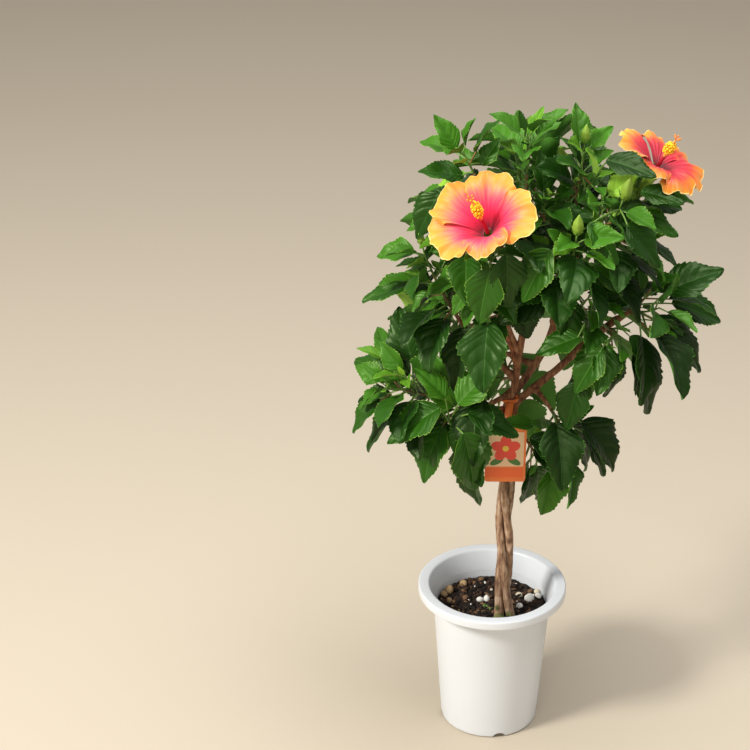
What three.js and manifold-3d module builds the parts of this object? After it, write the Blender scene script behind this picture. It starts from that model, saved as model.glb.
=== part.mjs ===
// A hibiscus shrub in its white pot: three twisted stems, their boughs, masses of leaves and two blooms.
// Millimetres, +Z up, with the origin under the middle of the pot.
import * as THREE from 'three';
import { mergeVertices } from 'three/addons/utils/BufferGeometryUtils.js';
import Module from 'manifold-3d';

const wasm = await Module();
wasm.setup();

const { sin, cos, sqrt, abs, ceil, floor, max, min, round, pow, exp, PI } = Math;
const vec = (x, y, z) => new THREE.Vector3(x, y, z);
const radians = THREE.MathUtils.degToRad;
const UP = vec(0, 0, 1);

// Driving dimensions of the pot
const POT_HEIGHT = 168;
const RIM_RADIUS = 80;
const MOUTH_RADIUS = 68.3;
const BODY_TOP_RADIUS = 63.4;
const BASE_RADIUS = 53;
const WALL = 2.3;
const FLOOR = 9;
const LIP_HEIGHT = 9.5;
const BODY_TOP = 150;
const NOTCH_RADIUS = 7.5;
const NOTCH_SINK = 1.5;
const NOTCH_TURN = -80;
const DRAIN_RADIUS = 4.5;
const DRAIN_PLACE = 42;
const NOTCH_COUNT = 4;
const POT_SEGMENTS = 32;

// Driving dimensions of the soil and the trunk
const SOIL_LEVEL = 137;
const GAP = 0.3;
const TWIST_TOP = 395;
const TWIST_PITCH = 260;
const TWIST_START = -130;
const STRAND_OFFSET = 5.4;
const STRAND_SPLAY = 2.2;
const SPLAY_HEIGHT = 9;
const STRAND_RADIUS = 4.4;
const STRAND_TOP_RADIUS = 4;
const FLARE = 1.6;
const TRUNK_AXIS = [vec(12, -18, 137), vec(10, -18, 274), vec(12, -17, 395)];
const STEM_SIDES = 7;

// Girth of a bough and of a twig, from the number of leaves that it carries
const GIRTH = 0.72;
const TWIG_TIP_RADIUS = 0.9;
const SHOOT_RADIUS = 1.4;
const STALK_RADIUS = 0.8;
const BLADE_HALF_THICKNESS = 0.55;
const SMALL_BLADE = 48;

// The stems: each strand's turn in the twist, where it goes above the twist, and its radius at the tip
const STEMS = {
  stem_a: { turn: 0, way: [vec(15, -23, 416), vec(17, -28, 446), vec(21, -35, 484)], tip: 3.8 },
  stem_b: { turn: 2, way: [vec(30, 2, 418), vec(50, 14, 448), vec(60, 20, 484), vec(66, 20, 520)], tip: 3.6 },
  stem_c: { turn: 1, way: [vec(34, -10, 408), vec(62, -10, 434), vec(88, -10, 462), vec(114, -15, 488)], tip: 3.4 },
};

// The masses of foliage. Each row: name, its stem, the height where its bough leaves the stem, the tip of its
// main twig, the share of the rise in the bough's bend, the bare share of the bough, leaves on the main twig,
// side shoots, blade length, hang, first turn about the twig, and seed
const MASSES = [
  ['top_left', 'stem_a', 484, [-44, -40, 681], 0.62, 0.55, 13, 1, 54, 0.05, 330, 997],
  ['top_centre', 'stem_a', 484, [20, -25, 688], 0.41, 0.5, 12, 2, 60, 0.1, 240, 304],
  ['top_right', 'stem_b', 514, [76, -10, 668], 0.5, 0.42, 14, 2, 64, 0.15, 10, 13],
  ['bloom_right', 'stem_b', 508, [134, 0, 616], 0.5, 0.45, 11, 1, 66, 0.24, 200, 14],
  ['right_shoulder', 'stem_b', 492, [108, -60, 628], 0.5, 0.5, 12, 2, 64, 0.35, 120, 15],
  ['centre_right', 'stem_b', 472, [64, -92, 606], 0.45, 0.45, 14, 2, 72, 0.6, 0, 16],
  ['right', 'stem_c', 488, [148, -28, 528], 0.4, 0.35, 12, 1, 74, 0.28, 60, 17],
  ['right_low', 'stem_c', 478, [112, -62, 498], 0.6, 0.45, 9, 1, 76, 0.8, 300, 18],
  ['low_right_inner', 'stem_c', 456, [82, -58, 466], 0.6, 0.4, 8, 0, 72, 0.9, 300, 293],
  ['low_right', 'stem_c', 410, [68, -52, 368], 0.3, 0.42, 10, 1, 70, 0.8, 75, 545],
  ['low_left_front', 'stem_a', 411, [-52, -73, 402], 0.55, 0.48, 16, 1, 76, 0.75, 15, 684],
  ['far_left', 'stem_a', 389, [-116, -54, 434], 0.5, 0.62, 12, 1, 60, 0.2, 250, 22],
  ['left', 'stem_a', 430, [-79, -31, 571], 0.35, 0.55, 14, 1, 68, 0.5, 0, 593],
  ['bloom_left', 'stem_a', 462, [-15, -56, 574], 0.4, 0.45, 10, 1, 72, 0.95, 90, 24],
  ['left_upper', 'stem_a', 448, [-51, 0, 598], 0.55, 0.55, 13, 1, 66, 0.59, 170, 25],
  ['centre_low', 'stem_c', 366, [40, -42, 340], 0.2, 0.35, 8, 0, 66, 1, 170, 26],
  ['back_top', 'stem_b', 510, [22, 78, 642], 0.5, 0.45, 17, 2, 60, 0.25, 225, 921],
  ['back_left_upper', 'stem_b', 480, [-37, 85, 586], 0.4, 0.5, 14, 2, 68, 0.4, 90, 925],
  ['back_right_upper', 'stem_b', 500, [102, 66, 599], 0.45, 0.45, 14, 2, 62, 0.4, 345, 153],
  ['back_left_low', 'stem_b', 428, [-72, 66, 452], 0.45, 0.55, 12, 1, 62, 0.6, 30, 30],
  ['back_right_low', 'stem_b', 446, [96, 70, 474], 0.45, 0.5, 12, 1, 62, 0.5, 210, 633],
  ['back_low', 'stem_b', 408, [12, 78, 372], 0.3, 0.45, 10, 1, 60, 0.8, 225, 890],
];

// The blooms: where the throat is, which way it faces and its column leans, how high the cup rises, how wide
// and how far out it keeps leaves off, and each petal's turn, length, droop, and half angle at the rim
const BLOOMS = {
  bloom_left: {
    throat: vec(-19, -78, 611),
    axis: vec(-0.285, -0.559, 0.778),
    column: vec(-0.35, -0.42, 0.84),
    columnLength: 50,
    rise: 30,
    radius: 54,
    clear: 60,
    petals: [[273, 55, 0, 40], [196, 57, 0, 42], [117, 51, 0, 44], [48, 56, 0, 40], [340, 55, 0, 40]],
  },
  bloom_right: {
    throat: vec(147, -14, 651.5),
    axis: vec(0.45, -0.15, 0.88),
    column: vec(0.45, -0.15, 0.88),
    columnLength: 36,
    rise: 16,
    radius: 46,
    clear: 34,
    petals: [[196, 45, 4, 44], [137, 55, 10, 44], [64, 42, 12, 42], [350, 38, 8, 42], [285, 50, 2, 46]],
  },
};
const CALYX = 34;
const CUP = 30;
const THROAT_RADIUS = 4;
const PETAL_FOOT_HALF = 36;
const PETAL_ROUNDING = 0.2;
const PETAL_ARCH = 1.9;
const PETAL_SLANT = 3;
const RUFFLE = 2.5;
const RUFFLES = 9;
const PETAL_THICKNESS = 0.9;
const RIM_THICKNESS = 0.54;

// Masses whose main twig ends in a closed bud, and the length of the bud
const BUDS = { right_shoulder: 27, centre_right: 25, top_right: 20, left: 17 };

// The plant label, which hangs from a ring round the first stem
const TAG = { centre: vec(7, -43, 353), width: 42, height: 70, thickness: 0.8, corner: 3, ring: 404 };
const TAG_RING_RADIUS = 5.8;
const TAG_RING_WALL = 1.1;
const TAG_RING_HEIGHT = 4;
const TAG_CLEAR = 8;
const STRAP_HALF_WIDTH = 4;
const STRAP_HALF_THICKNESS = 0.6;

// The sight lines to the fork of the stems, which leaves keep off so that the limbs show
const OPEN_FRONT = { low: 400, high: 472, way: vec(0, -0.89, 0.45), first: 14, last: 90 };

// The rule that keeps leaves apart: cells of space, each claimed by one leaf or one mass of twigs
const CELL = 3.6;
const SAMPLE = 1.8;
const GRID_LOW = vec(-230, -230, 0);
const GRID_SIZE = [140, 128, 214];
const MIXED = 30000;
const FIXED = 20000;
const FIRST_LEAF = 100;
const CROWN = { centre: vec(30, 0, 492), reach: vec(196, 165, 236), power: 2.6 };
const LEAN_CENTRE = vec(20, 0, 0);
const GOLDEN = radians(137.508);
const SHOOT_TURNS = [0, 60, -60, 120, -120, 180];

// What a leaf tries when its first place is taken: a turn about the twig, a smaller blade, more hang
const TRIES = [
  [0, 1, 0], [38, 1, 0], [-38, 1, 0], [0, 0.85, 0.3], [75, 0.95, 0], [-75, 0.95, 0],
  [38, 0.85, -0.3], [-38, 0.85, -0.3], [115, 0.85, 0], [-115, 0.85, 0], [155, 0.85, 0.2], [-155, 0.8, 0.2],
  [0, 0.7, 0.5], [60, 0.7, -0.4], [-60, 0.7, -0.4], [100, 0.65, 0.3], [-100, 0.65, 0.3],
];

// How a leaf stands, by its age and by chance: degrees of opening, roll, droop and fold; its size as a share of
// the blade length that the mass has; its stalk and its width as shares of its own length; and its hang
const OPENING = { young: 30, aged: 42, chance: 10 };
const SIZE = { young: 0.42, aged: 0.58, least: 0.92, chance: 0.16 };
const STALK = { young: 0.22, aged: 0.26, least: 0.8, chance: 0.5 };
const HANG = { young: 0.25, aged: 0.75, ease: 0.45, outward: 0.35, pull: 1.25, chance: 0.15 };
const ROLL = 44;
const WIDTH = { least: 0.7, chance: 0.12 };
const DROOP = { least: 12, chance: 34 };
const FOLD = { least: 10, chance: 16, young: 10 };
const WIDEST = 0.36;
const FOOT_POWER = 0.5;
const TIP_POWER = 0.72;

// Side shoots: where they leave the main twig, their length and how much shorter the upper ones are
const SHOOT_PLACE = { first: 0.12, span: 0.5 };
const SHOOT_LENGTH = { least: 34, chance: 16 };
const SHOOT_TAPER = { foot: 1.15, loss: 0.4 };
const SHOOT_BARE = 0.25;

const plain = (color, roughness) => new THREE.MeshStandardMaterial({ color, roughness, metalness: 0 });
const MATERIALS = {
  pot: plain(0xf2f2ee, 0.38),
  soil: plain(0x3b2a20, 0.95),
  bark: plain(0x8a6248, 0.8),
  leaf: plain(0x2f6b2a, 0.35),
  tag: plain(0xe8663a, 0.45),
};

// Vector helpers

const mix = (a, b, f) => a.clone().lerp(b, f);
const along = (origin, ...terms) => {
  const out = origin.clone();
  for (const [direction, amount] of terms) out.addScaledVector(direction, amount);
  return out;
};
const unit = (v) => v.clone().divideScalar(sqrt(v.dot(v)));
const cross = (a, b) => new THREE.Vector3().crossVectors(a, b);

const bezier = (p0, p1, p2, t) =>
  vec(0, 0, 0).addScaledVector(p0, (1 - t) * (1 - t)).addScaledVector(p1, 2 * t * (1 - t)).addScaledVector(p2, t * t);

const bezierTangent = (p0, p1, p2, t) => {
  const first = p1.clone().sub(p0).multiplyScalar(1 - t);
  return unit(first.addScaledVector(p2.clone().sub(p1), t));
};

// The same run of numbers from the same seed, between 0 and 1
function seeded(seed) {
  let state = seed >>> 0;
  return () => {
    state = (state + 0x6d2b79f5) >>> 0;
    let t = state;
    t = Math.imul(t ^ (t >>> 15), 1 | t);
    t = (t + Math.imul(t ^ (t >>> 7), 61 | t)) ^ t;
    return ((t ^ (t >>> 14)) >>> 0) / 4294967296;
  };
}

// A smooth line through some knots, with a number of steps between each two
function smoothLine(knots, steps) {
  const out = [];
  for (let i = 0; i < knots.length - 1; i += 1) {
    const p0 = knots[max(i - 1, 0)];
    const p1 = knots[i];
    const p2 = knots[i + 1];
    const p3 = knots[min(i + 2, knots.length - 1)];
    for (let k = 0; k < steps; k += 1) {
      const t = k / steps;
      const point = vec(0, 0, 0)
        .addScaledVector(p0, -t + 2 * t * t - t * t * t)
        .addScaledVector(p1, 2 - 5 * t * t + 3 * t * t * t)
        .addScaledVector(p2, t + 4 * t * t - 3 * t * t * t)
        .addScaledVector(p3, t * t * t - t * t);
      out.push(point.multiplyScalar(0.5));
    }
  }
  out.push(knots[knots.length - 1].clone());
  return out;
}

// Closed solids from rings of points

function toSolid(positions, triangles) {
  const mesh = new wasm.Mesh({
    numProp: 3,
    vertProperties: new Float32Array(positions),
    triVerts: new Uint32Array(triangles),
  });
  return new wasm.Manifold(mesh);
}

function geometrySolid(geometry) {
  const bare = geometry.clone();
  bare.deleteAttribute('normal');
  bare.deleteAttribute('uv');
  const merged = mergeVertices(bare, 1e-4);
  const index = merged.index.array;
  const place = merged.attributes.position.array;
  const whole = [];
  for (let i = 0; i < index.length; i += 3) {
    const [a, b, c] = [index[i], index[i + 1], index[i + 2]];
    if (a !== b && b !== c && c !== a) whole.push(a, b, c);
  }
  return toSolid(place, whole);
}

// The triangles between two rings of one count, given the number of each ring's first point
function band(first, second, count) {
  const triangles = [];
  for (let k = 0; k < count; k += 1) {
    const next = (k + 1) % count;
    triangles.push(first + k, first + next, second + next, first + k, second + next, second + k);
  }
  return triangles;
}

// Rings of equal count, each seen counter-clockwise from beyond it, joined and capped
function skin(rings) {
  const count = rings[0].length;
  const last = (rings.length - 1) * count;
  const triangles = [];
  for (let k = 1; k < count - 1; k += 1) triangles.push(0, k + 1, k, last, last + k, last + k + 1);
  for (let r = 0; r < last; r += count) triangles.push(...band(r, r + count, count));
  return toSolid(rings.flat().flatMap((p) => [p.x, p.y, p.z]), triangles);
}

// One tapering limb along a line, with a radius at each point
function limb(line, radii, sides) {
  let side = null;
  const rings = line.map((point, i) => {
    const before = line[max(i - 1, 0)];
    const after = line[min(i + 1, line.length - 1)];
    const tangent = unit(after.clone().sub(before));
    const guess = side ?? (abs(tangent.z) < 0.9 ? cross(tangent, UP) : vec(1, 0, 0));
    side = unit(along(guess, [tangent, -guess.dot(tangent)]));
    const other = cross(tangent, side);
    return Array.from({ length: sides }, (_, k) => {
      const a = (2 * PI * k) / sides;
      return along(point, [side, cos(a) * radii[i]], [other, sin(a) * radii[i]]);
    });
  });
  return skin(rings);
}

// The trunk: three strands twisted round one axis

function trunkAxis(z) {
  const [low, middle, high] = TRUNK_AXIS;
  if (z < middle.z) return mix(low, middle, (z - low.z) / (middle.z - low.z));
  return mix(middle, high, (z - middle.z) / (high.z - middle.z));
}

function strandPoint(turn, z) {
  const axis = trunkAxis(z);
  const splay = STRAND_SPLAY * exp((SOIL_LEVEL - z) / SPLAY_HEIGHT);
  const angle = radians(TWIST_START + 120 * turn) - (2 * PI * (z - TWIST_TOP)) / TWIST_PITCH;
  const off = STRAND_OFFSET + splay;
  return vec(axis.x + off * cos(angle), axis.y + off * sin(angle), z);
}

function stemLine(stem) {
  const knots = [];
  const spans = 12;
  for (let i = 0; i <= spans; i += 1) {
    knots.push(strandPoint(stem.turn, SOIL_LEVEL + ((TWIST_TOP - SOIL_LEVEL) * i) / spans));
  }
  return smoothLine([...knots, ...stem.way], 4);
}

function stemRadius(stem, z, top) {
  const flare = FLARE * exp((SOIL_LEVEL - z) / SPLAY_HEIGHT);
  if (z < TWIST_TOP) {
    const f = (z - SOIL_LEVEL) / (TWIST_TOP - SOIL_LEVEL);
    return STRAND_RADIUS + (STRAND_TOP_RADIUS - STRAND_RADIUS) * f + flare;
  }
  return STRAND_TOP_RADIUS + (stem.tip - STRAND_TOP_RADIUS) * ((z - TWIST_TOP) / (top - TWIST_TOP));
}

// The stem stands on the soil on a flat cut; grown makes it stouter, for cutting its boughs clear
function stemSolid(stem, line, grown) {
  const coarse = line.filter((_, i) => i % 3 === 0 || i === line.length - 1);
  const top = line[line.length - 1].z;
  const radii = coarse.map((p) => stemRadius(stem, p.z, top) + grown);
  const first = coarse[0].clone();
  const lift = SOIL_LEVEL + GAP;
  const points = [vec(first.x, first.y, lift - 4), ...coarse.slice(1)];
  if (grown) points.push(along(coarse[coarse.length - 1], [unit(coarse.at(-1).clone().sub(coarse.at(-2))), grown]));
  if (grown) radii.push(radii[radii.length - 1]);
  const whole = limb(points, radii, STEM_SIDES);
  const under = new THREE.BoxGeometry(80, 80, 20).translate(first.x, first.y, lift - 10);
  return whole.subtract(geometrySolid(under));
}

function atHeight(line, z) {
  let i = 0;
  while (i < line.length - 2 && line[i + 1].z < z) i += 1;
  return mix(line[i], line[i + 1], min(1, (z - line[i].z) / (line[i + 1].z - line[i].z)));
}

// Space that leaves and twigs claim

class Space {
  constructor() {
    this.owner = new Int16Array(GRID_SIZE[0] * GRID_SIZE[1] * GRID_SIZE[2]);
  }

  cell(point) {
    return [
      floor((point.x - GRID_LOW.x) / CELL),
      floor((point.y - GRID_LOW.y) / CELL),
      floor((point.z - GRID_LOW.z) / CELL),
    ];
  }

  inside([i, j, k]) {
    return i >= 1 && j >= 1 && k >= 1 && i <= GRID_SIZE[0] - 2 && j <= GRID_SIZE[1] - 2 && k <= GRID_SIZE[2] - 2;
  }

  slot(i, j, k) {
    return (i * GRID_SIZE[1] + j) * GRID_SIZE[2] + k;
  }

  claim(points, who) {
    const seen = new Set();
    for (const point of points) {
      const at = this.cell(point);
      const edge = at[0] >= GRID_SIZE[0] - 2 || at[1] >= GRID_SIZE[1] - 2 || at[2] >= GRID_SIZE[2] - 2;
      const key = this.slot(...at);
      if (!this.inside(at) || edge || seen.has(key)) continue;
      seen.add(key);
      for (let i = at[0] - 1; i <= at[0] + 1; i += 1) {
        for (let j = at[1] - 1; j <= at[1] + 1; j += 1) {
          for (let k = at[2] - 1; k <= at[2] + 1; k += 1) {
            const here = this.slot(i, j, k);
            const old = this.owner[here];
            this.owner[here] = old === 0 || old === who ? who : MIXED;
          }
        }
      }
    }
  }

  // Whether all the points lie in cells that are free, or belong to the one that asks
  free(points, who) {
    return points.every((point) => {
      const at = this.cell(point);
      if (!this.inside(at)) return false;
      const old = this.owner[this.slot(...at)];
      return old === 0 || old === who;
    });
  }
}

function spread(a, b) {
  const n = max(1, ceil(a.distanceTo(b) / SAMPLE));
  return Array.from({ length: n + 1 }, (_, i) => mix(a, b, i / n));
}

const lineSamples = (line) => line.slice(1).flatMap((point, i) => spread(line[i], point));

// Leaves

function halfWidth(t) {
  if (t <= 0 || t >= 1) return 0;
  return t < WIDEST ? pow(t / WIDEST, FOOT_POWER) : pow((1 - t) / (1 - WIDEST), TIP_POWER);
}

// A point of the blade: t from its foot to its tip, u from one edge to the other, lift above it
function leafPoint(leaf, t, u, lift = 0) {
  const a = leaf.droop * t;
  const run = (sin(a) / leaf.droop) * leaf.length;
  const drop = ((1 - cos(a)) / leaf.droop) * leaf.length;
  const normal = along(vec(0, 0, 0), [leaf.normal, cos(a)], [leaf.along, sin(a)]);
  const half = leaf.width * 0.5 * halfWidth(t);
  const middle = along(leaf.base, [leaf.along, run], [leaf.normal, -drop]);
  return along(middle, [leaf.side, cos(leaf.fold) * u * half], [normal, sin(leaf.fold) * abs(u) * half + lift]);
}

function bladeSamples(leaf) {
  const rows = max(3, ceil(leaf.length / SAMPLE));
  const columns = max(2, ceil((leaf.width * 0.5) / SAMPLE));
  const points = [];
  for (let i = 0; i <= rows; i += 1) {
    const t = i / rows;
    if (t < 0.12) continue;
    for (let j = -columns; j <= columns; j += 1) points.push(leafPoint(leaf, t, j / columns));
  }
  return points;
}

function insideCrown(points) {
  return points.every((p) => {
    const x = abs((p.x - CROWN.centre.x) / CROWN.reach.x);
    const y = abs((p.y - CROWN.centre.y) / CROWN.reach.y);
    const z = abs((p.z - CROWN.centre.z) / CROWN.reach.z);
    return pow(x, CROWN.power) + pow(y, CROWN.power) + pow(z, CROWN.power) < 1;
  });
}

// A leaf at a point of a twig; age runs from 1 at the foot of the twig to about 0.25 at its tip
function makeLeaf(root, tangent, azimuth, age, blade, hang, chance) {
  let above = along(UP, [tangent, -tangent.z]);
  if (above.dot(above) < 0.02) above = along(vec(1, 0, 0), [tangent, -tangent.x]);
  above = unit(above);
  const beside = cross(tangent, above);
  const opening = radians(OPENING.young + OPENING.aged * age + OPENING.chance * (chance[0] - 0.5));
  const ring = along(vec(0, 0, 0), [above, cos(azimuth)], [beside, sin(azimuth)]);
  const stalkWay = unit(along(vec(0, 0, 0), [tangent, cos(opening)], [ring, sin(opening)]));
  const length = blade * (SIZE.young + SIZE.aged * age) * (SIZE.least + SIZE.chance * chance[1]);
  const stalk = length * (STALK.young + STALK.aged * age) * (STALK.least + STALK.chance * chance[2]);
  const outward = vec(root.x - LEAN_CENTRE.x, root.y - LEAN_CENTRE.y, 0);
  outward.divideScalar(sqrt(outward.dot(outward)) + 30);
  const drop = hang * (HANG.young + HANG.aged * age);
  const sink = HANG.chance * (chance[3] - 0.5) - HANG.pull * drop;
  const way = along(vec(0, 0, 0), [stalkWay, 1 - HANG.ease * drop], [outward, HANG.outward], [UP, sink]);
  const bladeWay = unit(way);
  const bend = along(root, [stalkWay, stalk * 0.6]);
  const base = along(bend, [unit(stalkWay.clone().add(bladeWay)), stalk * 0.4]);
  const reference = along(vec(0, 0, 0), [UP, 0.8], [outward, 0.9], [tangent, 0.25]);
  let face = along(reference, [bladeWay, -reference.dot(bladeWay)]);
  if (face.dot(face) < 0.01) face = along(above, [bladeWay, -above.dot(bladeWay)]);
  face = unit(face);
  const roll = radians(ROLL * (chance[4] - 0.5));
  const normal = along(vec(0, 0, 0), [face, cos(roll)], [cross(bladeWay, face), sin(roll)]);
  return {
    root,
    bend,
    base,
    along: bladeWay,
    normal,
    side: cross(bladeWay, normal),
    length,
    width: length * (WIDTH.least + WIDTH.chance * chance[5]),
    droop: radians(DROOP.least + DROOP.chance * chance[6] * (0.4 + 0.6 * age)),
    fold: radians(FOLD.least + FOLD.chance * chance[7] + FOLD.young * (1 - age)),
  };
}

// Stalk and blade as one lens-like solid, its root sunk in the twig: a three-sided stalk of two rings,
// one or two rings of four points across the blade, and the tip
function leafSolid(leaf) {
  const stalkWay = unit(leaf.base.clone().sub(leaf.root));
  const stalkSide = unit(cross(stalkWay, leaf.normal));
  const stalkRing = (point, side, above) => [
    along(point, [side, STALK_RADIUS], [above, STALK_RADIUS * 0.5]),
    along(point, [above, -STALK_RADIUS]),
    along(point, [side, -STALK_RADIUS], [above, STALK_RADIUS * 0.5]),
  ];
  const bladeRing = (t) => [
    leafPoint(leaf, t, 1),
    leafPoint(leaf, t, 0, -BLADE_HALF_THICKNESS),
    leafPoint(leaf, t, -1),
    leafPoint(leaf, t, 0, BLADE_HALF_THICKNESS),
  ];
  const stations = leaf.length > SMALL_BLADE ? [0.3, 0.62] : [0.42];
  const points = [
    ...stalkRing(leaf.root, stalkSide, cross(stalkSide, stalkWay)),
    ...stalkRing(leaf.base, leaf.side, leaf.normal),
    ...stations.flatMap(bladeRing),
    leafPoint(leaf, 1, 0),
  ];
  const triangles = [0, 2, 1, ...band(0, 3, 3)];
  triangles.push(3, 4, 7, 3, 7, 6, 4, 5, 8, 4, 8, 7, 5, 3, 9, 3, 6, 9, 5, 9, 8);
  if (stations.length > 1) {
    triangles.push(6, 7, 11, 6, 11, 10, 7, 8, 11, 8, 12, 11, 8, 9, 13, 8, 13, 12, 9, 6, 13, 6, 10, 13);
  }
  const tip = points.length - 1;
  for (let k = 0; k < 4; k += 1) triangles.push(tip - 4 + k, tip - 4 + ((k + 1) % 4), tip);
  return toSolid(points.flatMap((p) => [p.x, p.y, p.z]), triangles);
}

// Blooms and buds

function bloomFrame(bloom) {
  const axis = unit(bloom.axis);
  const side = unit(cross(axis, UP));
  return { axis, side, other: cross(axis, side) };
}

function bloomSamples(bloom) {
  const { axis, side, other } = bloomFrame(bloom);
  const points = [];
  for (let k = 0; k <= bloom.clear; k += CELL) {
    const inside = bloom.radius * (1 - (0.5 * (k - CUP)) / (bloom.clear - CUP));
    const reach = k <= CUP ? bloom.radius + 3 : inside;
    for (let r = 0; r <= reach; r += CELL) {
      const n = max(1, ceil((2 * PI * r) / CELL));
      for (let i = 0; i < n; i += 1) {
        const a = (2 * PI * i) / n;
        points.push(along(bloom.throat, [axis, k], [side, cos(a) * r], [other, sin(a) * r]));
      }
    }
  }
  return points;
}

// A point of a petal: v from the throat to its rim, u across it
function petalPoint(bloom, frame, [turn, length, droop, wide], v, u, lift) {
  const half = PETAL_FOOT_HALF + (wide - PETAL_FOOT_HALF) * sin((v * PI) / 2);
  const angle = radians(turn + u * half);
  const reach = THROAT_RADIUS + (length - THROAT_RADIUS) * v * (1 - PETAL_ROUNDING * u * u * v * v);
  const ruffle = RUFFLE * v * v * sin(RUFFLES * angle);
  const rise = bloom.rise * sin(v * PETAL_ARCH) - droop * v * v + PETAL_SLANT * u * v + ruffle;
  return along(
    bloom.throat,
    [frame.axis, rise + lift],
    [frame.side, cos(angle) * reach],
    [frame.other, sin(angle) * reach],
  );
}

// The upper and lower side of a petal share their diagonals, so that they never cross, and a wall joins them
// along the border, which runs round the three rows of three points
function petalSolid(bloom, frame, petal) {
  const side = (sign) => [0, 0.55, 1].flatMap((v) => {
    const half = (v === 1 ? RIM_THICKNESS : PETAL_THICKNESS) / 2;
    return [-1, 0, 1].map((u) => petalPoint(bloom, frame, petal, v, u, sign * half));
  });
  const points = [...side(1), ...side(-1)];
  const low = points.length / 2;
  const triangles = [];
  for (const a of [0, 1, 3, 4]) {
    const [b, c, d] = [a + 1, a + 3, a + 4];
    triangles.push(a, c, d, a, d, b, low + a, low + d, low + c, low + a, low + b, low + d);
  }
  const border = [0, 3, 6, 7, 8, 5, 2, 1];
  border.forEach((p, k) => {
    const q = border[(k + 1) % border.length];
    triangles.push(low + p, low + q, q, low + p, q, p);
  });
  return toSolid(points.flatMap((p) => [p.x, p.y, p.z]), triangles);
}

function bloomSolids(bloom, twigEnd, twigWay) {
  const frame = bloomFrame(bloom);
  const foot = along(bloom.throat, [frame.axis, -CALYX]);
  const bend = along(twigEnd, [twigWay, foot.distanceTo(twigEnd) * 0.4]);
  const stalk = [0, 0.35, 0.7, 1].map((t) => bezier(along(twigEnd, [twigWay, -2]), bend, along(foot, [frame.axis, 2]), t));
  const calyx = [0, 8, 20, CALYX, CALYX + 5].map((h) => along(foot, [frame.axis, h]));
  const column = [0, 0.5, 0.62, 0.85, 1].map((f) => along(bloom.throat, [unit(bloom.column), f * bloom.columnLength]));
  return [
    limb(stalk, [1.3, 1.3, 1.3, 1.5], 5),
    limb(calyx, [2, 5, 5.5, 6.4, 4], 8),
    limb(column, [2, 1.8, 4.6, 4.4, 1.4], 5),
    ...bloom.petals.map((petal) => petalSolid(bloom, frame, petal)),
  ];
}

// The axis of a bud on its stalk, with the places where its girth changes
function budLine(twigEnd, twigWay, length) {
  const way = unit(along(twigWay, [UP, 0.6]));
  const start = along(twigEnd, [twigWay, -1.5]);
  const stalk = length * 0.55;
  const places = [0, stalk, stalk + length * 0.12, stalk + length * 0.4, stalk + length * 0.72, stalk + length];
  return places.map((d) => along(start, [way, d]));
}

function budSolid(twigEnd, twigWay, length) {
  const radii = [1, 1, length * 0.15, length * 0.21, length * 0.17, 0.7];
  return limb(budLine(twigEnd, twigWay, length), radii, 6);
}

// The whole crown, grown mass by mass with the leaves placed in turns

function tagSamples(stem) {
  const points = [];
  for (let k = 0; k < 9; k += 1) {
    const left = k < 2 ? -0.5 : -0.2;
    for (let x = TAG.width * left; x <= TAG.width / 2; x += CELL) {
      for (let z = -TAG.height / 2; z <= TAG.height / 2; z += CELL) {
        points.push(along(TAG.centre, [vec(x, -CELL * k, z), 1]));
      }
    }
  }
  const ring = atHeight(stem, TAG.ring);
  for (let i = 0; i < 12; i += 1) {
    const a = (2 * PI * i) / 12;
    points.push(along(ring, [vec(cos(a), sin(a), 0), TAG_CLEAR]));
  }
  return [...points, ...spread(along(TAG.centre, [UP, TAG.height / 2]), along(ring, [vec(0, -TAG_CLEAR, 0), 1]))];
}

function frontSamples(stems) {
  const points = [];
  for (const point of Object.values(stems).flat()) {
    if (point.z < OPEN_FRONT.low || point.z > OPEN_FRONT.high) continue;
    for (let d = OPEN_FRONT.first; d <= OPEN_FRONT.last; d += CELL) points.push(along(point, [OPEN_FRONT.way, d]));
  }
  return points;
}

function growShoots(mass, space) {
  const [main] = mass.twigs;
  const { draw } = mass;
  for (let j = 0; j < mass.shoots; j += 1) {
    const share = SHOOT_PLACE.first + (SHOOT_PLACE.span * (j + 0.5 * draw())) / mass.shoots;
    const t = main.bare + (1 - main.bare) * share;
    const start = bezier(main.start, main.bend, main.end, t);
    const tangent = bezierTangent(main.start, main.bend, main.end, t);
    const beside = unit(abs(tangent.z) < 0.95 ? cross(tangent, UP) : cross(tangent, vec(1, 0, 0)));
    const above = cross(tangent, beside);
    const wander = 1.5 * (draw() - 0.5);
    const size = (SHOOT_LENGTH.least + SHOOT_LENGTH.chance * draw()) * (SHOOT_TAPER.foot - SHOOT_TAPER.loss * t);
    for (const turn of SHOOT_TURNS) {
      const a = radians(mass.spin + turn) + j * PI + wander;
      const way = unit(along(vec(0, 0, 0), [tangent, 0.8], [beside, cos(a) * 0.8], [above, sin(a) * 0.8], [UP, 0.25]));
      const end = along(start, [way, size]);
      const bend = along(start, [unit(along(way, [UP, -0.25])), size * 0.5]);
      const line = lineSamples([0, 0.25, 0.5, 0.75, 1].map((f) => bezier(start, bend, end, f)));
      if (!space.free(line, mass.number)) continue;
      space.claim(line, mass.number);
      mass.twigs.push({ start, bend, end, bare: SHOOT_BARE, leaves: max(3, round(main.leaves * 0.35)) });
      break;
    }
  }
}

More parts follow.
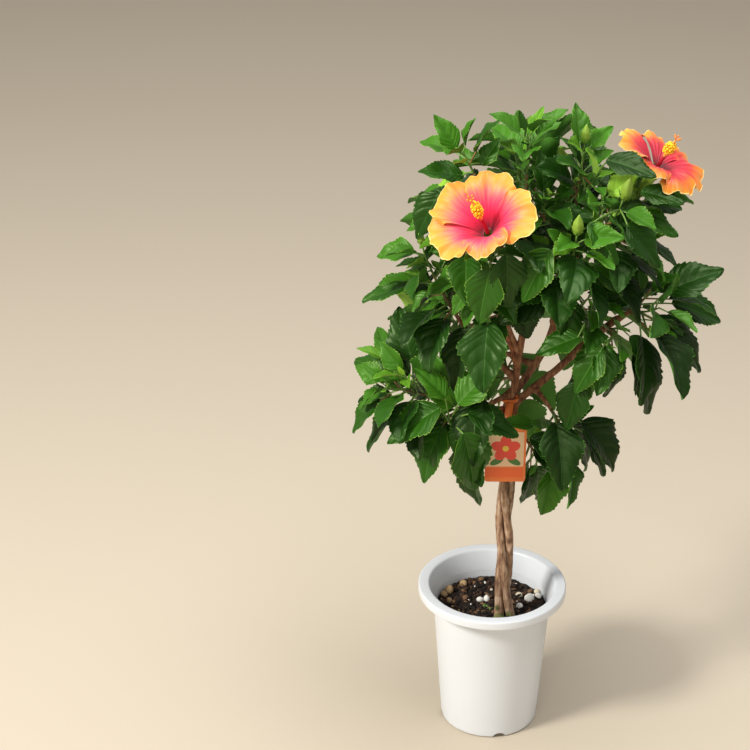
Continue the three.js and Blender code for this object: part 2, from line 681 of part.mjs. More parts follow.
function placeLeaf(mass, twig, j, i, space, leafNumber) {
  const f = i / max(twig.leaves - 1, 1);
  const t = twig.bare + (1 - twig.bare) * (0.06 + 0.94 * (1 - pow(1 - f, 1.35)));
  const age = (1 - 0.75 * pow(f, 1.7)) * (j ? 0.85 : 1);
  const root = bezier(twig.start, twig.bend, twig.end, t);
  const tangent = bezierTangent(twig.start, twig.bend, twig.end, t);
  const chance = Array.from({ length: 8 }, () => mass.draw());
  const angle = radians(mass.spin) + j * 2.1 + i * GOLDEN;
  for (const [turn, scale, lift] of TRIES) {
    const leaf = makeLeaf(root, tangent, angle + radians(turn), age, mass.blade * scale, mass.hang + lift, chance);
    const blade = bladeSamples(leaf);
    if (!insideCrown(blade.filter((_, n) => n % 7 === 0)) || !space.free(blade, 0)) continue;
    const stalk = [...spread(leaf.root, leaf.bend), ...spread(leaf.bend, leaf.base)];
    if (!space.free(stalk, mass.number)) continue;
    space.claim(stalk.slice(2), mass.number);
    space.claim(blade, FIRST_LEAF + leafNumber);
    return leaf;
  }
  return null;
}

function growCrown(stems) {
  const space = new Space();
  for (const line of Object.values(stems)) space.claim(lineSamples(line), FIXED);
  for (const bloom of Object.values(BLOOMS)) space.claim(bloomSamples(bloom), FIXED);
  space.claim(tagSamples(stems.stem_a), FIXED);
  space.claim(frontSamples(stems), FIXED);
  const masses = MASSES.map((row, k) => {
    const [name, stem, height, tip, rise, bare, leaves, shoots, blade, hang, spin, seed] = row;
    const start = atHeight(stems[stem], height);
    const end = vec(...tip);
    const run = end.clone().sub(start);
    const bend = vec(start.x + run.x * (1 - rise), start.y + run.y * (1 - rise), start.z + run.z * rise);
    const number = k + 1;
    const whole = Array.from({ length: 13 }, (_, i) => bezier(start, bend, end, i / 12));
    space.claim(lineSamples(whole), number);
    if (BLOOMS[name]) {
      const foot = along(BLOOMS[name].throat, [unit(BLOOMS[name].axis), -CALYX]);
      space.claim(lineSamples([end, foot, BLOOMS[name].throat]), number);
    }
    if (BUDS[name]) space.claim(lineSamples(budLine(end, bezierTangent(start, bend, end, 1), BUDS[name])), number);
    const main = { start, bend, end, bare, leaves };
    return { name, number, shoots, blade, hang, spin, draw: seeded(seed * 7919), twigs: [main], grown: [] };
  });
  for (const mass of masses) growShoots(mass, space);
  const rounds = max(...masses.flatMap((mass) => mass.twigs.map((twig) => twig.leaves)));
  let leafNumber = 1;
  for (let i = 0; i < rounds; i += 1) {
    for (const mass of masses) {
      for (const [j, twig] of mass.twigs.entries()) {
        if (i >= twig.leaves) continue;
        const leaf = placeLeaf(mass, twig, j, i, space, leafNumber);
        if (!leaf) continue;
        mass.grown.push(leaf);
        leafNumber += 1;
      }
    }
  }
  return masses;
}

const boughRadius = (mass) => {
  const carried = mass.twigs.reduce((sum, twig) => sum + twig.leaves, 0);
  return GIRTH * sqrt(carried);
};

const radiusAt = (mass, t) => boughRadius(mass) + (TWIG_TIP_RADIUS - boughRadius(mass)) * t;

// The bough from its stem to where the mass starts, or its stouter form for cutting others clear
function boughSolid(mass, grown) {
  const [main] = mass.twigs;
  const steps = [0, 0.33, 0.66, 1].map((f) => f * main.bare);
  const line = steps.map((t) => bezier(main.start, main.bend, main.end, t));
  return limb(line, steps.map((t) => radiusAt(mass, t) + grown), 5);
}

function massSolid(mass) {
  const [main, ...shoots] = mass.twigs;
  const way = bezierTangent(main.start, main.bend, main.end, main.bare);
  const steps = [0, 0.33, 0.66, 1].map((f) => main.bare + (1 - main.bare) * f);
  const line = steps.map((t) => bezier(main.start, main.bend, main.end, t));
  line[0] = along(line[0], [way, GAP]);
  const pieces = [limb(line, steps.map((t) => radiusAt(mass, t)), 4)];
  for (const shoot of shoots) {
    const points = [0, 0.5, 1].map((t) => bezier(shoot.start, shoot.bend, shoot.end, t));
    pieces.push(limb(points, [SHOOT_RADIUS, SHOOT_RADIUS * 0.85, TWIG_TIP_RADIUS * 0.8], 3));
  }
  pieces.push(...mass.grown.map(leafSolid));
  const endWay = bezierTangent(main.start, main.bend, main.end, 1);
  if (BLOOMS[mass.name]) pieces.push(...bloomSolids(BLOOMS[mass.name], main.end, endWay));
  if (BUDS[mass.name]) pieces.push(budSolid(main.end, endWay, BUDS[mass.name]));
  return largest(wasm.Manifold.union(pieces));
}

// The largest of the bodies that a cut leaves
function largest(solid) {
  return solid.decompose().sort((a, b) => b.volume() - a.volume())[0];
}

// The pot, its soil and the label

function lathe(profile, segments) {
  const points = profile.map(([r, z]) => new THREE.Vector2(r, z));
  const geometry = new THREE.LatheGeometry(points, segments);
  geometry.rotateX(PI / 2);
  return geometrySolid(geometry);
}

const innerRadius = (z) => {
  const top = BODY_TOP_RADIUS - WALL;
  const low = BASE_RADIUS - WALL;
  return low + ((top - low) * (z - FLOOR)) / (BODY_TOP - FLOOR);
};

function potSolid() {
  const lipFoot = POT_HEIGHT - LIP_HEIGHT;
  const profile = [
    [0, 0],
    [BASE_RADIUS - 3.6, 0],
    [BASE_RADIUS - 0.9, 1.2],
    [BASE_RADIUS, 4],
    [BODY_TOP_RADIUS, BODY_TOP],
    [BODY_TOP_RADIUS + 2.4, BODY_TOP + 4.2],
    [MOUTH_RADIUS + 1.7, POT_HEIGHT - 2.2],
    [RIM_RADIUS - 2.1, POT_HEIGHT - 2.4],
    [RIM_RADIUS - 1.9, lipFoot],
    [RIM_RADIUS - 0.2, lipFoot],
    [RIM_RADIUS, POT_HEIGHT - 2.2],
    [RIM_RADIUS - 0.9, POT_HEIGHT - 0.6],
    [RIM_RADIUS - 2.4, POT_HEIGHT],
    [MOUTH_RADIUS + 2, POT_HEIGHT],
    [MOUTH_RADIUS + 0.5, POT_HEIGHT - 0.7],
    [MOUTH_RADIUS, POT_HEIGHT - 2.4],
    [innerRadius(BODY_TOP), BODY_TOP],
    [innerRadius(FLOOR), FLOOR],
    [0, FLOOR],
  ];
  let pot = lathe(profile, POT_SEGMENTS);
  for (let i = 0; i < NOTCH_COUNT; i += 1) {
    const turn = radians(NOTCH_TURN) + (2 * PI * i) / NOTCH_COUNT;
    const length = BASE_RADIUS - DRAIN_PLACE + 12;
    const notch = new THREE.CylinderGeometry(NOTCH_RADIUS, NOTCH_RADIUS, length, 10);
    notch.rotateZ(PI / 2).translate(DRAIN_PLACE - 6 + length / 2, 0, -NOTCH_SINK).rotateZ(turn);
    const drain = new THREE.CylinderGeometry(DRAIN_RADIUS, DRAIN_RADIUS, FLOOR * 3, 8);
    drain.rotateX(PI / 2).translate(DRAIN_PLACE, 0, FLOOR).rotateZ(turn);
    pot = pot.subtract(geometrySolid(notch)).subtract(geometrySolid(drain));
  }
  return pot;
}

function soilSolid() {
  const low = FLOOR + GAP;
  const profile = [
    [0, low],
    [innerRadius(low) - GAP * 2, low],
    [innerRadius(SOIL_LEVEL) - GAP * 2, SOIL_LEVEL],
    [0, SOIL_LEVEL],
  ];
  return lathe(profile, POT_SEGMENTS);
}

function tagSolid(stemLineA) {
  const { centre, width, height, thickness, corner } = TAG;
  const outline = new THREE.Shape();
  const right = width / 2;
  const top = height / 2;
  outline.moveTo(-right + corner, -top);
  outline.lineTo(right - corner, -top);
  outline.absarc(right - corner, -top + corner, corner, -PI / 2, 0);
  outline.absarc(right - corner, top - corner, corner, 0, PI / 2);
  outline.absarc(-right + corner, top - corner, corner, PI / 2, PI);
  outline.absarc(-right + corner, -top + corner, corner, PI, PI * 1.5);
  const card = new THREE.ExtrudeGeometry(outline, { depth: thickness, bevelEnabled: false, curveSegments: 2 });
  card.rotateX(PI / 2).translate(centre.x, centre.y + thickness / 2, centre.z);
  const ringCentre = atHeight(stemLineA, TAG.ring);
  const half = TAG_RING_HEIGHT / 2;
  const outer = TAG_RING_RADIUS + TAG_RING_WALL;
  const loop = [[TAG_RING_RADIUS, -half], [outer, -half], [outer, half], [TAG_RING_RADIUS, half], [TAG_RING_RADIUS, -half]];
  const ring = lathe(loop, 10).translate([ringCentre.x, ringCentre.y, ringCentre.z]);
  const strapEnds = [
    vec(ringCentre.x, ringCentre.y - TAG_RING_RADIUS - TAG_RING_WALL * 0.5, ringCentre.z),
    vec(centre.x, centre.y, centre.z + top - 1.5),
  ];
  const strapRings = strapEnds.map((p) => [
    vec(p.x - STRAP_HALF_WIDTH, p.y, p.z + STRAP_HALF_THICKNESS),
    vec(p.x - STRAP_HALF_WIDTH, p.y, p.z - STRAP_HALF_THICKNESS),
    vec(p.x + STRAP_HALF_WIDTH, p.y, p.z - STRAP_HALF_THICKNESS),
    vec(p.x + STRAP_HALF_WIDTH, p.y, p.z + STRAP_HALF_THICKNESS),
  ]);
  return wasm.Manifold.union([geometrySolid(card), ring, skin(strapRings)]);
}

// Put together

function addMesh(group, name, solid, material) {
  const { vertProperties, triVerts } = solid.getMesh();
  const geometry = new THREE.BufferGeometry();
  geometry.setAttribute('position', new THREE.BufferAttribute(new Float32Array(vertProperties), 3));
  geometry.setIndex(new THREE.BufferAttribute(new Uint32Array(triVerts), 1));
  geometry.computeVertexNormals();
  const mesh = new THREE.Mesh(geometry, material);
  mesh.name = name;
  group.add(mesh);
}

function buildShrub() {
  const group = new THREE.Group();
  addMesh(group, 'pot', potSolid(), MATERIALS.pot);
  addMesh(group, 'soil', soilSolid(), MATERIALS.soil);
  const lines = Object.fromEntries(Object.entries(STEMS).map(([name, stem]) => [name, stemLine(stem)]));
  const keepOff = [];
  for (const [name, stem] of Object.entries(STEMS)) {
    addMesh(group, name, stemSolid(stem, lines[name], 0), MATERIALS.bark);
    keepOff.push(stemSolid(stem, lines[name], GAP));
  }
  addMesh(group, 'tag', tagSolid(lines.stem_a), MATERIALS.tag);
  for (const mass of growCrown(lines)) {
    const bough = keepOff.reduce((solid, other) => solid.subtract(other), boughSolid(mass, 0));
    addMesh(group, `bough_${mass.name}`, largest(bough), MATERIALS.bark);
    keepOff.push(boughSolid(mass, GAP));
    addMesh(group, `foliage_${mass.name}`, massSolid(mass), MATERIALS.leaf);
  }
  return group;
}

export default buildShrub();
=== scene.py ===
"""The looks of a potted hibiscus shrub: toothed glossy leaves, twisted bark, blooms, buds, soil and pot.

Lengths are millimetres, with +Z up and the origin under the middle of the pot, until a mesh is made in metres.
"""
from math import atan2, ceil, cos, exp, hypot, pi, radians, sin, sqrt, tau

import bpy
import numpy as np
from mathutils import Euler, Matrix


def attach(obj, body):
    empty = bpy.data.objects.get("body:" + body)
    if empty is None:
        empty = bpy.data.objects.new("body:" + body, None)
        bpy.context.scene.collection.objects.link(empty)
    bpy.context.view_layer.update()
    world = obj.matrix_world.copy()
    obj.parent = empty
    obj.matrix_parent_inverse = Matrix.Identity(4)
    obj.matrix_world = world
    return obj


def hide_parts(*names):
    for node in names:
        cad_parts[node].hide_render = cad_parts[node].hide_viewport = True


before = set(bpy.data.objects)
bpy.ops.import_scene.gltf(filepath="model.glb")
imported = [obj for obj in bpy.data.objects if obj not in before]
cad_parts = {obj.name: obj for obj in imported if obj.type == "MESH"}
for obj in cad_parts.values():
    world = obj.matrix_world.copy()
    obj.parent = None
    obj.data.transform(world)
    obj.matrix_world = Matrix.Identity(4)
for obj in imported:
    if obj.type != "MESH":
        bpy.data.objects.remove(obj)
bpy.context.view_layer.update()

MM = 0.001
UP = np.array([0.0, 0.0, 1.0])
EAST = np.array([1.0, 0.0, 0.0])
FRONT = np.array([0.0, -1.0, 0.0])
GOLDEN = radians(137.508)
BITS = 0xFFFFFFFF

# Driving sizes of the pot and the soil
POT_HEIGHT = 168.0
RIM_RADIUS = 80.0
MOUTH_RADIUS = 68.3
BODY_TOP_RADIUS = 63.4
BASE_RADIUS = 53.0
WALL = 2.3
FLOOR = 9.0
LIP_HEIGHT = 9.5
BODY_TOP = 150.0
NOTCH_RADIUS = 7.5
NOTCH_SINK = 1.5
NOTCH_TURN = -80.0
NOTCH_COUNT = 4
DRAIN_RADIUS = 4.5
DRAIN_PLACE = 42.0
POT_SEGMENTS = 160
SOIL_LEVEL = 137.0
GAP = 0.3

# Driving sizes of the trunk, and the heights where its bark changes, from mossy to brown and to reddish
TWIST_TOP = 395.0
TWIST_PITCH = 260.0
TWIST_START = -130.0
STRAND_OFFSET = 5.4
STRAND_SPLAY = 2.2
SPLAY_HEIGHT = 9.0
STRAND_RADIUS = 4.4
STRAND_TOP_RADIUS = 4.0
FLARE = 1.6
TRUNK_AXIS = ((12.0, -18.0, 137.0), (10.0, -18.0, 274.0), (12.0, -17.0, 395.0))
BARK_CHANGES = (146.0, 384.0)
BARK_PATCH = 9.0

# Girth of a bough, from the number of leaves that it carries, of twigs, and of a stalk, from its leaf's length
GIRTH = 0.72
TWIG_TIP_RADIUS = 0.9
SHOOT_RADIUS = 1.4
STALK_RADIUS = dict(least=0.45, share=0.0085)

# The stems: each strand's turn in the twist, where it goes above the twist, and its radius at the tip
STEMS = {
    "stem_a": dict(turn=0, way=((15, -23, 416), (17, -28, 446), (21, -35, 484)), tip=3.8),
    "stem_b": dict(turn=2, way=((30, 2, 418), (50, 14, 448), (60, 20, 484), (66, 20, 520)), tip=3.6),
    "stem_c": dict(turn=1, way=((34, -10, 408), (62, -10, 434), (88, -10, 462), (114, -15, 488)), tip=3.4),
}

# The masses of foliage. Each row: name, its stem, the height where its bough leaves the stem, the tip of its
# main twig, the share of the rise in the bough's bend, the bare share of the bough, leaves on the main twig,
# side shoots, blade length, hang, first turn about the twig, and seed
MASSES = (
    ("top_left", "stem_a", 484, (-44, -40, 681), 0.62, 0.55, 13, 1, 54, 0.05, 330, 997),
    ("top_centre", "stem_a", 484, (20, -25, 688), 0.41, 0.5, 12, 2, 60, 0.1, 240, 304),
    ("top_right", "stem_b", 514, (76, -10, 668), 0.5, 0.42, 14, 2, 64, 0.15, 10, 13),
    ("bloom_right", "stem_b", 508, (134, 0, 616), 0.5, 0.45, 11, 1, 66, 0.24, 200, 14),
    ("right_shoulder", "stem_b", 492, (108, -60, 628), 0.5, 0.5, 12, 2, 64, 0.35, 120, 15),
    ("centre_right", "stem_b", 472, (64, -92, 606), 0.45, 0.45, 14, 2, 72, 0.6, 0, 16),
    ("right", "stem_c", 488, (148, -28, 528), 0.4, 0.35, 12, 1, 74, 0.28, 60, 17),
    ("right_low", "stem_c", 478, (112, -62, 498), 0.6, 0.45, 9, 1, 76, 0.8, 300, 18),
    ("low_right_inner", "stem_c", 456, (82, -58, 466), 0.6, 0.4, 8, 0, 72, 0.9, 300, 293),
    ("low_right", "stem_c", 410, (68, -52, 368), 0.3, 0.42, 10, 1, 70, 0.8, 75, 545),
    ("low_left_front", "stem_a", 411, (-52, -73, 402), 0.55, 0.48, 16, 1, 76, 0.75, 15, 684),
    ("far_left", "stem_a", 389, (-116, -54, 434), 0.5, 0.62, 12, 1, 60, 0.2, 250, 22),
    ("left", "stem_a", 430, (-79, -31, 571), 0.35, 0.55, 14, 1, 68, 0.5, 0, 593),
    ("bloom_left", "stem_a", 462, (-15, -56, 574), 0.4, 0.45, 10, 1, 72, 0.95, 90, 24),
    ("left_upper", "stem_a", 448, (-51, 0, 598), 0.55, 0.55, 13, 1, 66, 0.59, 170, 25),
    ("centre_low", "stem_c", 366, (40, -42, 340), 0.2, 0.35, 8, 0, 66, 1, 170, 26),
    ("back_top", "stem_b", 510, (22, 78, 642), 0.5, 0.45, 17, 2, 60, 0.25, 225, 921),
    ("back_left_upper", "stem_b", 480, (-37, 85, 586), 0.4, 0.5, 14, 2, 68, 0.4, 90, 925),
    ("back_right_upper", "stem_b", 500, (102, 66, 599), 0.45, 0.45, 14, 2, 62, 0.4, 345, 153),
    ("back_left_low", "stem_b", 428, (-72, 66, 452), 0.45, 0.55, 12, 1, 62, 0.6, 30, 30),
    ("back_right_low", "stem_b", 446, (96, 70, 474), 0.45, 0.5, 12, 1, 62, 0.5, 210, 633),
    ("back_low", "stem_b", 408, (12, 78, 372), 0.3, 0.45, 10, 1, 60, 0.8, 225, 890),
)

# The blooms: where the throat is, which way it faces and its column leans, how high the cup rises, how wide
# and how far out it keeps leaves off, each petal's turn, length, droop, and half angle at the rim, and how much
# of that length shows
BLOOMS = {
    "bloom_left": dict(
        throat=(-19, -78, 611), axis=(-0.285, -0.559, 0.778), column=(-0.35, -0.42, 0.84), column_length=50,
        rise=30, radius=54, clear=60,
        petals=((273, 55, 0, 40), (196, 57, 0, 42), (117, 51, 0, 44), (48, 56, 0, 40), (340, 55, 0, 40)),
        trim=(0.94, 0.95, 0.83, 0.96, 0.96),
    ),
    "bloom_right": dict(
        throat=(147, -14, 651.5), axis=(0.45, -0.15, 0.88), column=(0.45, -0.15, 0.88), column_length=36,
        rise=16, radius=46, clear=34,
        petals=((196, 45, 4, 44), (137, 55, 10, 44), (64, 42, 12, 42), (350, 38, 8, 42), (285, 50, 2, 46)),
        trim=(1, 1, 1, 1, 1),
    ),
}
CALYX = 34.0
CUP = 30.0
THROAT_RADIUS = 4.0
PETAL_FOOT_HALF = 36.0
PETAL_WIDEN = 1.1
PETAL_ROUNDING = 0.2
PETAL_NOTCH = 0.16
PETAL_ARCH = 1.9
PETAL_SLANT = 3.0
PETAL_RIBS = 4.5
RUFFLE = 2.5
RUFFLES = 9.0
STAMENS = 90
CUP_LOBES = 5
CUP_NOTCH = 0.3
CUP_HEIGHTS = (0, 6, 20, CALYX + 3)
CUP_RADII = (1.6, 4.6, 5.3, 6.2)
BRACTS = 7

# Radii by shares of the length: of the column, of a bract, and of a bud, whose radii are shares themselves
COLUMN_RADII = ((0, 0.3, 0.9, 1), (2.3, 1.8, 1.3, 1.0))
BRACT_RADII = ((0, 0.3, 1), (0.7, 0.85, 0.15))
BUD_RADII = ((0, 0.12, 0.35, 0.6, 0.82, 1.0), (0.1, 0.17, 0.215, 0.19, 0.1, 0.02))

# Scallops of a petal's rim and frills of its edge: size, how many, how far each petal differs, and drift
SCALLOPS = ((0.035, 5.3, 1), (0.022, 11.7, 2), (0.012, 27, 1))
FRILLS = ((1.7, 13, 1, 1.2), (0.9, 24, 2, 0))

# Masses whose main twig ends in a closed bud, and the length of the bud
BUDS = {"right_shoulder": 27, "centre_right": 25, "top_right": 20, "left": 17}
BUD_STALK = 0.55
BUD_CHANGES = (0.12, 0.4, 0.72, 1.0)

# The plant label, which hangs from a ring round the first stem
TAG = dict(centre=(7.0, -43.0, 353.0), width=42.0, height=70.0, thickness=0.8, corner=3.0, ring=404.0)
RING_RADIUS = 8.35

# The sight lines to the fork of the stems, which leaves keep off so that the limbs show
OPEN_FRONT = dict(low=400, high=472, way=(0, -0.89, 0.45), first=14, last=90)

# The rule that keeps leaves apart: cells of space, each claimed by one leaf or one mass of twigs
CELL = 3.6
SAMPLE = 1.8
GRID_LOW = np.array([-230.0, -230.0, 0.0])
GRID_REACH = np.array([504.0, 460.8, 770.4])
MIXED = 30000
FIXED = 20000
FIRST_LEAF = 100
CROWN_CENTRE = np.array([30.0, 0.0, 492.0])
CROWN_REACH = np.array([196.0, 165.0, 236.0])
CROWN_POWER = 2.6
LEAN_CENTRE = np.array([20.0, 0.0, 0.0])

# How a leaf stands, by its age and by chance: degrees of opening, roll, droop and fold; its size as a share of
# the blade length that the mass has; its stalk and its width as shares of its own length; and its hang
OPENING = dict(young=30, aged=42, chance=10)
SIZE = dict(young=0.42, aged=0.58, least=0.92, chance=0.16)
STALK = dict(young=0.22, aged=0.26, least=0.8, chance=0.5)
HANG = dict(young=0.25, aged=0.75, ease=0.45, outward=0.35, pull=1.25, chance=0.15)
ROLL = 44
WIDTH = dict(least=0.7, chance=0.12)
DROOP = dict(least=12, chance=34)
FOLD = dict(least=10, chance=16, young=10)
WIDEST = 0.36
FOOT_POWER = 0.5
TIP_POWER = 0.72

# Side shoots: where they leave the main twig, their length, how much shorter the upper ones are and their turns
SHOOT_PLACE = dict(first=0.12, span=0.5)
SHOOT_LENGTH = dict(least=34, chance=16)
SHOOT_TAPER = dict(foot=1.15, loss=0.4)
SHOOT_BARE = 0.25
SHOOT_LEAVES = 0.35
SHOOT_TURNS = (0, 60, -60, 120, -120, 180)

# Leaves along a twig: where the first one is, how they crowd, how young the last one is, and shoots' leaves
FIRST_PLACE = 0.06
CROWDING = 1.35
TIP_YOUTH = 0.75
YOUTH_POWER = 1.7
SHOOT_AGE = 0.85
SHOOT_SPIN = 2.1

# What a leaf tries when its first place is taken: a turn about the twig, a smaller blade, more hang
TRIES = (
    (0, 1.0, 0), (38, 1.0, 0), (-38, 1.0, 0), (0, 0.85, 0.3), (75, 0.95, 0), (-75, 0.95, 0),
    (38, 0.85, -0.3), (-38, 0.85, -0.3), (115, 0.85, 0), (-115, 0.85, 0), (155, 0.85, 0.2), (-155, 0.8, 0.2),
    (0, 0.7, 0.5), (60, 0.7, -0.4), (-60, 0.7, -0.4), (100, 0.65, 0.3), (-100, 0.65, 0.3),
)

# The finer growth that the boughs carry besides: twigs, leaves and the young leaves at the tips
FINE_CELL = 2.2
FINE_TWIGS = 2
FINE_LEAVES = 4
FINE_BARE = 0.3
FINE_LENGTH = dict(least=18, chance=16)
FINE_FRONTS = ("stem_a",)
EXTRA_LEAVES = 8
EXTRA_BLADE = dict(least=0.66, chance=0.26)
ROSETTE = 6
YOUNG_WIDTH = 0.72
YOUNG_BLADE = dict(least=16, step=9, chance=8)
YOUNG_AGE = dict(least=0.12, step=0.05)
YOUNG_HANG = -0.25
YOUNG_STEP = 1.5

# The leaves that show best: the mass, the age, and the foot and tip of the blade
POSED = (
    ("left_upper", 0.9, (-64, -30, 634), (-90, -38, 588)),
    ("top_left", 0.65, (-41, -26, 649), (-84, -40, 663)),
    ("top_left", 0.5, (-50, -42, 682), (-69, -38, 717)),
    ("top_left", 0.55, (-25, -50, 669), (-9, -42, 695)),
    ("top_right", 0.9, (92, -66, 681), (137, -90, 677)),
    ("bloom_right", 0.8, (129, -44, 640), (170, -58, 636)),
    ("bloom_right", 0.7, (123, -50, 619), (168, -60, 603)),
    ("right_shoulder", 0.6, (74, -96, 628), (107, -104, 591)),
    ("right_shoulder", 0.9, (113, -80, 620), (150, -88, 580)),
    ("centre_right", 0.8, (40, -100, 603), (10, -104, 550)),
    ("bloom_left", 0.9, (-2, -98, 598), (2, -98, 540)),
    ("bloom_left", 0.65, (-17, -96, 582), (-29, -100, 523)),
    ("right_low", 0.7, (73, -84, 504), (28, -90, 490)),
    ("right_low", 0.75, (95, -90, 495), (66, -98, 449)),
    ("right_low", 0.85, (74, -84, 454), (61, -90, 401)),
    ("low_right", 0.9, (29, -72, 385), (76, -84, 365)),
    ("low_left_front", 0.55, (-63, -94, 431), (-118, -106, 400)),
    ("low_left_front", 0.3, (-45, -92, 434), (-7, -84, 477)),
    ("low_left_front", 0.4, (-57, -90, 440), (-86, -84, 471)),
    ("low_left_front", 0.75, (-35, -96, 426), (18, -100, 405)),
    ("low_left_front", 0.7, (-40, -114, 413), (-23, -110, 342)),
)
POSED_LOOK = UP + FRONT * 0.45
POSED_WIDTH = 0.7
POSED_DROOP = radians(16)
POSED_FOLD = radians(14)

# Steps for each lighter green, by a leaf's youth plus painted light and shade from its place: lighter high and on
# the left, darker low and on the right
AGE_AND_LIGHT_STEPS = (0.07, 0.22, 0.47, 0.74, 0.9)

# The relief of a blade: teeth, quilting, arch, waves and the groove of its midrib as shares of its half width,
# its midrib and its thickness
TOOTH = 0.1
TOOTH_PHASES = (0.0, 0.03, 0.2, 0.36, 0.5, 0.56, 0.72, 0.88, 1.0)
TOOTH_HEIGHTS = (1.0, 0.8, -0.7, 0.0, 0.5, 0.4, -0.6, 0.5, 1.0)
# Past this share of the half width the teeth start, and the margin strip gets its painted highlight
EDGE_STRIP = 0.95
QUILT = 0.06
ARCH = 0.07
WAVE = 0.08
WAVES = 2.2
GROOVE = 0.012
TIP_CURL = -0.12
VEIN_SLANT = 2.6
VEIN_BOW = 1.15
MIDRIB = 0.2
MIDRIB_SHARE = 0.003
BLADE = 0.35

# The rows of a blade, as shares of its length: below the first side vein, the veins' span, and above the last
FOOT_ROWS = (0.004, 0.03, 0.075, 0.12)
VEIN_SPAN = (0.15, 0.93)
TIP_ROWS = (0.95, 0.972, 0.99)
TIP_PHASES = (0.3, 0.5, 0.3)
UNDER_COLUMNS = (-0.5, 0.0, 0.5)
# The kinds of a blade's faces; the last is the margin strip, whose paler green is a painted highlight of the light
# through the leaf's edge
TOP_SIDE, RIB, UNDERSIDE, SIDE_VEIN, EDGE_HIGHLIGHT = range(5)

# Which masses share one piece of leaves
SPRAYS = {
    "leaves_top": ("top_left", "top_centre", "top_right", "bloom_right"),
    "leaves_right": ("right_shoulder", "centre_right", "right", "right_low"),
    "leaves_low": ("low_right_inner", "low_right", "low_left_front", "centre_low"),
    "leaves_left": ("far_left", "left", "bloom_left", "left_upper"),
    "leaves_back_high": ("back_top", "back_left_upper", "back_right_upper"),
    "leaves_back_low": ("back_left_low", "back_right_low", "back_low"),
}

# What lies on the soil: place, size and kind of the larger grains, and the counts of the small ones
GRAINS = (
    (-5, 9, 9, "white"), (-12, 7, 8, "white"), (31, 18, 8, "cream"), (42, 10, 12, "white"), (30, -3, 8.5, "white"),
    (51, 24, 7, "cream"), (52, 16, 8, "white"), (-29, 43, 9, "tan"), (-46, 27, 12, "tan"), (-51, 18, 8, "tan"),
    (-46, 9, 7, "tan"), (-5, -5, 6, "moss"), (-8, -3, 4.5, "moss"), (-2, -9, 5, "moss"), (3, -26, 5, "moss"),
    (10, -27, 4.5, "moss"), (19, -25, 5, "moss"), (23, -20, 4, "moss"),
)
GRAIN_KINDS = ("white", "cream", "tan", "moss")
SMALL_GRAINS = 40
SOIL_BITS = 2200

# The photograph's camera: millimetres, degrees, and pixels of the 750-pixel frame
CAMERA_PLACE = (-127.0, -1931.0, 1395.0)
CAMERA_PITCH = 26.8
FOCAL_PIXELS = 2100.0
PHOTO_PIXELS = 750.0

# The greens of the leaves' upper side from old to young, which also carry painted light and shade by a leaf's
# place, their veins and undersides
UPPER = (
    ("leaf_deep", "#142f08", 0.40), ("leaf_dark", "#1a3d0a", 0.38), ("leaf_mid", "#26500e", 0.38),
    ("leaf_fresh", "#396b13", 0.40), ("leaf_bright", "#52841c", 0.42), ("leaf_young_and_lit", "#80aa2e", 0.46),
)
# The veins' greens; the two paler ones also colour the margin strips as a painted highlight
VEIN_AND_EDGE_GREENS = (("vein_dark", "#2a5416", 0.45), ("vein_mid_and_edge_highlight", "#426f24", 0.45), ("vein_pale_and_edge_highlight", "#7ea23a", 0.5))
UNDER = (("under_old_and_shaded", "#4a7d2c", 0.6), ("under_young_and_lit", "#8bb145", 0.6))

# The colours of bark, with its roughness, and of the petals from throat to rim
BARKS = dict(
    foot=(((0.3, "#3c3a1e"), (0.5, "#6c6a3a"), (0.72, "#96905e")), 0.85),
    trunk=(((0.3, "#684a36"), (0.5, "#9c795c"), (0.72, "#c8ac90")), 0.8),
    bough=(((0.3, "#5a3420"), (0.5, "#905a38"), (0.72, "#b0805a")), 0.7),
    bough_red=(((0.3, "#66341c"), (0.5, "#a05c36"), (0.72, "#bc8456")), 0.7),
)
# The last, palest stop of each ramp is a painted highlight, given to the edge row of every petal
PETALS = {
    "bloom_left": (
        (0.0, "#600414"), (0.08, "#a40a2c"), (0.18, "#da1244"), (0.32, "#e8365e"),
        (0.45, "#ef665e"), (0.57, "#f0863a"), (0.74, "#f2982a"), (0.92, "#f3a530"), (1.0, "#fbd080"),
    ),
    "bloom_right": (
        (0.0, "#5e0512"), (0.09, "#8c0820"), (0.22, "#bc0f2e"), (0.42, "#cc1c38"),
        (0.55, "#e23f34"), (0.66, "#f0742a"), (0.82, "#f69622"), (0.94, "#f8ac34"), (1.0, "#fdd283"),
    ),
}


# Vectors, lines and chance


def unit(v):
    return v / sqrt(float(v @ v))


def turns(count):
    return tau * np.arange(count) / count


def seeded(seed):
    """The same run of numbers between 0 and 1 from the same seed."""
    state = [seed & BITS]

    def draw():
        state[0] = (state[0] + 0x6D2B79F5) & BITS
        t = state[0]
        t = ((t ^ (t >> 15)) * (1 | t)) & BITS
        t = ((t + (((t ^ (t >> 7)) * (61 | t)) & BITS)) & BITS) ^ t
        return ((t ^ (t >> 14)) & BITS) / (BITS + 1)

    return draw


def chances(draw):
    return [draw() for _ in range(8)]


def hashed(cell, seed):
    mixed = cell[..., 0] * 73856093 ^ cell[..., 1] * 19349663 ^ cell[..., 2] * 83492791 ^ seed * 2654435
    mixed = (mixed ^ (mixed >> 13)) & BITS
    mixed = (mixed * 1274126177) & BITS
    return ((mixed ^ (mixed >> 16)) & 0xFFFF) / 32767.5 - 1.0


def rough(points, scale, seed):
    """Smooth noise from -1 to 1 at each point, with bumps of about one scale."""
    place = np.asarray(points, float) / scale
    low = np.floor(place).astype(np.int64)
    part = place - low
    part = part * part * (3 - 2 * part)
    total = np.zeros(place.shape[:-1])
    for corner in np.ndindex(2, 2, 2):
        weight = np.prod(np.where(np.array(corner) == 1, part, 1 - part), axis=-1)
        total += weight * hashed(low + np.array(corner), seed)
    return total


